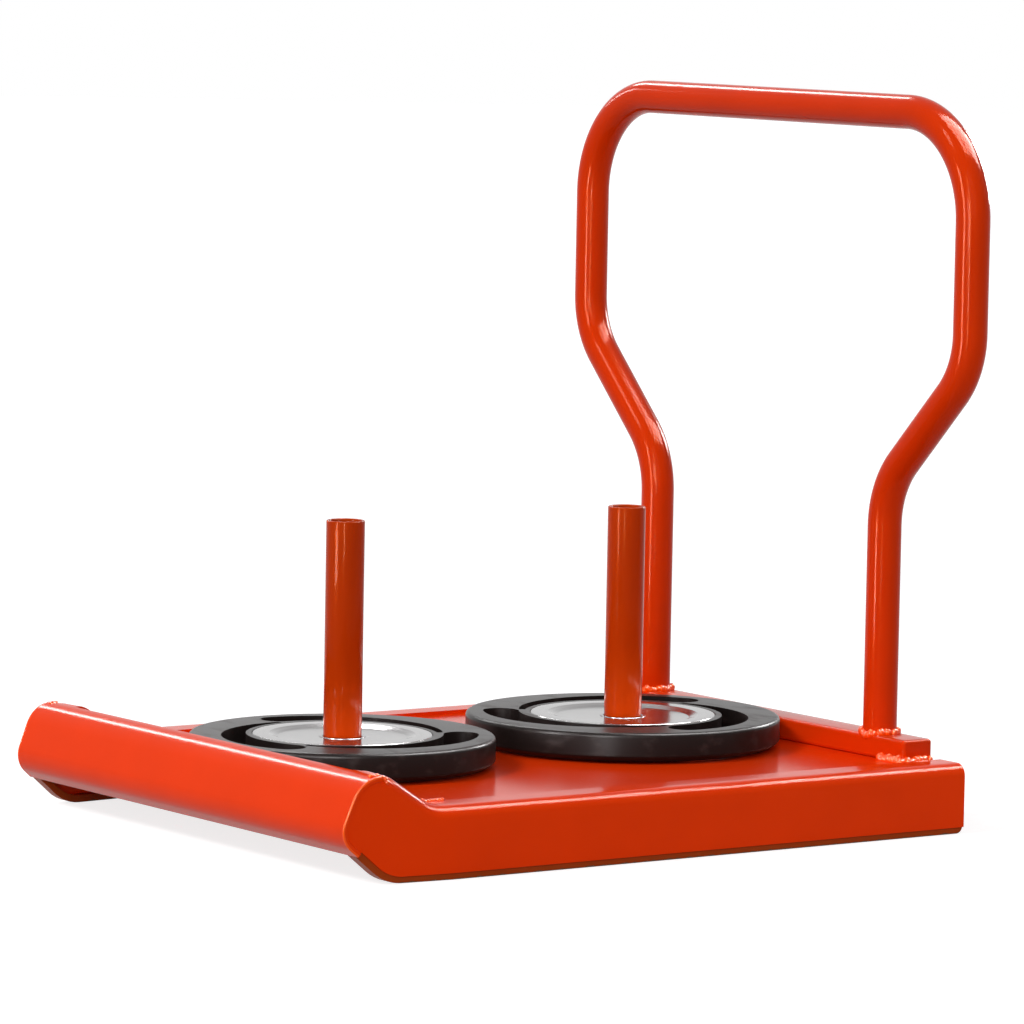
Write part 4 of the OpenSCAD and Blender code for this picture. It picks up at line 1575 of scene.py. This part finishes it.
@dataclass(frozen=True)
class Strip:
    """A long soft lamp that shows only as a highlight in paint and steel, in metres."""

    name: str
    place: Point
    aim: Point
    along: Point
    size: Flat
    radiance: float

    def hang(self) -> None:
        """Makes the lamp, its long side along the given direction."""
        area = bpy.data.lights.new(self.name, "AREA")
        area.shape = "RECTANGLE"
        area.size, area.size_y = self.size
        area.energy = self.radiance * math.pi * self.size[0] * self.size[1]
        y = Vector(self.along).normalized()
        z = Vector(self.place) - Vector(self.aim)
        z = (z - y * z.dot(y)).normalized()
        lamp = stand(self.name, area, (y.cross(z), y, z), Vector(self.place))
        lamp.visible_diffuse = False
        lamp.visible_camera = False


STRIPS = (
    Strip("strip_side", (1.75, 0.12, 0.75), (-0.2, 0.12, 0.4), (0, 0, 1), (0.38, 1.7), 65.0),
    Strip("strip_nose", (-0.08, -2.11, 1.51), (0.43, -2.11, 0.13), (0, 1, 0), (0.28, 1.6), 22.0),
    Strip("strip_rail", (-1.48, 0.65, 2.2), (-1.48, 0.40, 0.09), (1, 0, 0), (1.1, 2.6), 55.0),
    Strip("strip_rise", (-2.3, -0.5, 1.15), (0.35, 0.35, 0.12), (0, 0, 1), (0.6, 0.6), 40.0),
    Strip("strip_bar", (-0.79, -1.83, 2.19), (-0.456, -1.83, 0.934), (0, 1, 0), (0.34, 1.7), 30.0),
    Strip("soft_front", (2.1, 1.6, 1.02), (0.45, 0.4, 0.1), (0, 0, 1), (1.0, 0.8), 30.0),
    Strip("strip_front", (1.7, 1.75, 0.95), (0.0, 0.0, 0.3), (0, 0, 1), (0.15, 2.4), 80.0),
)


@dataclass
class Studio:
    """The pale floor, the soft lamps, the white surroundings and the camera."""

    azimuth: float = 144.985
    elevation: float = 5.601
    roll: float = 1.047
    lens: float = 214.50
    distance: float = 8000.248
    shift_u: float = -35.494
    shift_v: float = -401.959
    world: float = 0.42
    floor_grey: float = 0.42
    floor_glow: float = 0.80
    floor_height: float = -0.4
    key: float = 1.65
    key_angle: float = 14.0
    fill: float = 1.0
    fill_angle: float = 40.0

    def axes(self) -> tuple[Vector, Vector, Vector]:
        """The camera's right, up and backward directions."""
        az, el, roll = (math.radians(a) for a in (self.azimuth, self.elevation, self.roll))
        back = Vector((math.sin(az) * math.cos(el), -math.cos(az) * math.cos(el), math.sin(el)))
        right = Vector((0, 0, 1)).cross(back).normalized()
        up = back.cross(right)
        return (right * math.cos(roll) + up * math.sin(roll),
                up * math.cos(roll) - right * math.sin(roll), back)

    def place_camera(self) -> None:
        """Sets the camera at the photograph's viewing angle."""
        right, up, back = self.axes()
        data = bpy.data.cameras.new("view")
        data.lens = self.lens
        data.sensor_width = 36.0
        data.clip_end = 60.0
        place = (back * self.distance - right * self.shift_u - up * self.shift_v) * MM
        bpy.context.scene.camera = stand("view", data, (right, up, back), place)

    def seen(self, desk: NodeDesk) -> Socket:
        """1 where the camera looks straight, by a reflection or through glass, and else 0."""
        path = desk.add("ShaderNodeLightPath").outputs
        bent = desk.sum("MAXIMUM", path["Is Glossy Ray"], path["Is Transmission Ray"])
        return desk.sum("MAXIMUM", path["Is Camera Ray"], bent)

    def floor_material(self) -> Material:
        """A pale floor that keeps the sled's shadow."""
        material = bpy.data.materials.new("studio_floor")
        desk = clear_desk(material)
        matt = desk.add("ShaderNodeBsdfDiffuse", {"Color": (*[self.floor_grey] * 3, 1.0)})
        strength = desk.sum("MULTIPLY", self.seen(desk), self.floor_glow)
        glow = desk.add("ShaderNodeEmission", {"Color": (1.0, 1.0, 1.0, 1.0), "Strength": strength})
        both = desk.add("ShaderNodeAddShader", {0: matt.outputs[0], 1: glow.outputs[0]})
        desk.add("ShaderNodeOutputMaterial", {0: both.outputs[0]})
        return material

    def build_floor(self) -> None:
        """Lays the floor as a wide disc of rings."""
        draft = Draft()
        numbers = draft.grid(np.array([ring(0.0, radius, self.floor_height, 48)
                                       for radius in (400.0, 3000.0, 9000.0, 30000.0)]))
        draft.skin(numbers, (False, True))
        draft.face(numbers[0][::-1])
        floor = draft.piece("floor", self.floor_material())
        if any(face.normal.z < 0 for face in floor.data.polygons):
            floor.data.flip_normals()

    def light(self) -> None:
        """Hangs the lamps and sets the surroundings."""
        right, _, back = self.axes()
        key_from = right * -0.80 + back * 0.42 + Vector((0, 0, 0.80))
        fill_from = back + Vector((0, 0, 0.25))
        for name, energy, angle, toward in (("key", self.key, self.key_angle, key_from),
                                            ("fill", self.fill, self.fill_angle, fill_from)):
            sun = bpy.data.lights.new(name, "SUN")
            sun.energy = energy
            sun.angle = math.radians(angle)
            lamp = bpy.data.objects.new(name, sun)
            lamp.rotation_euler = toward.to_track_quat("Z", "Y").to_euler()
            bpy.context.scene.collection.objects.link(lamp)
        for strip in STRIPS:
            strip.hang()
        world = bpy.data.worlds.new("surroundings")
        bpy.context.scene.world = world
        desk = clear_desk(world)
        strength = desk.sum("MULTIPLY_ADD", self.seen(desk), 1.0 - self.world, self.world)
        sky = desk.add("ShaderNodeBackground", {"Color": (1.0, 1.0, 1.0, 1.0), "Strength": strength})
        desk.add("ShaderNodeOutputWorld", {0: sky.outputs[0]})

    def build(self) -> None:
        """Sets up the whole studio."""
        bpy.context.scene.view_settings.view_transform = "Standard"
        self.place_camera()
        self.build_floor()
        self.light()
        LOG.info("studio ready")


@dataclass
class WeightSled:
    """The whole sled with its two plates."""

    front_x: float = 225.96
    rear_x: float = -220.0

    def dress_channels(self, nodes: dict[str, Object], shop: PaintShop) -> None:
        """Gives the channels under the deck a darker, rougher copy of the frame paint."""
        for name in ("cross_member_front", "cross_member_rear"):
            mesh = nodes[name].data
            mesh.materials.clear()
            mesh.materials.append(shop["thin_under_paint"])
            LOG.info("piece %-22s keeps its shape", name)

    def build(self, nodes: dict[str, Object]) -> None:
        """Builds and dresses every piece.

        Args:
            nodes: The frame's nodes by name.
        """
        shop = PaintShop(self.front_x, self.rear_x)
        shop.mix()
        lines = SledLines()
        bar, handle = Crossbar(), Handle()
        posts = (Post("front", self.front_x), Post("rear", self.rear_x))
        nose = NoseSheet(lines)
        nose.build(shop)
        for side in Side:
            SideMember(lines, side).build(shop)
            Skid(lines, side).build(shop)
        Deck(lines, (self.front_x, self.rear_x)).build(shop)
        bar.build(shop)
        tube = BentTube()
        handle.build(shop, tube)
        nose.build_edges(shop, tube)
        for post in posts:
            post.build(shop)
        for plate in (WeightPlate("front", Body.FRONT_PLATE, self.front_x, 198.0, 150.0, True),
                      WeightPlate("rear", Body.REAR_PLATE, self.rear_x, 209.0, 325.0, False)):
            plate.build_rubber(shop)
            plate.build_steel(shop)
        Welds(lines, bar, handle, posts).build(shop, WeldBead())
        self.dress_channels(nodes, shop)


def main() -> None:
    """Builds the sled and the studio."""
    logging.basicConfig(level=logging.INFO, format="%(message)s")
    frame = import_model()
    WeightSled().build(frame["nodes"])
    Studio().build()


if __name__ == "__main__":
    main()
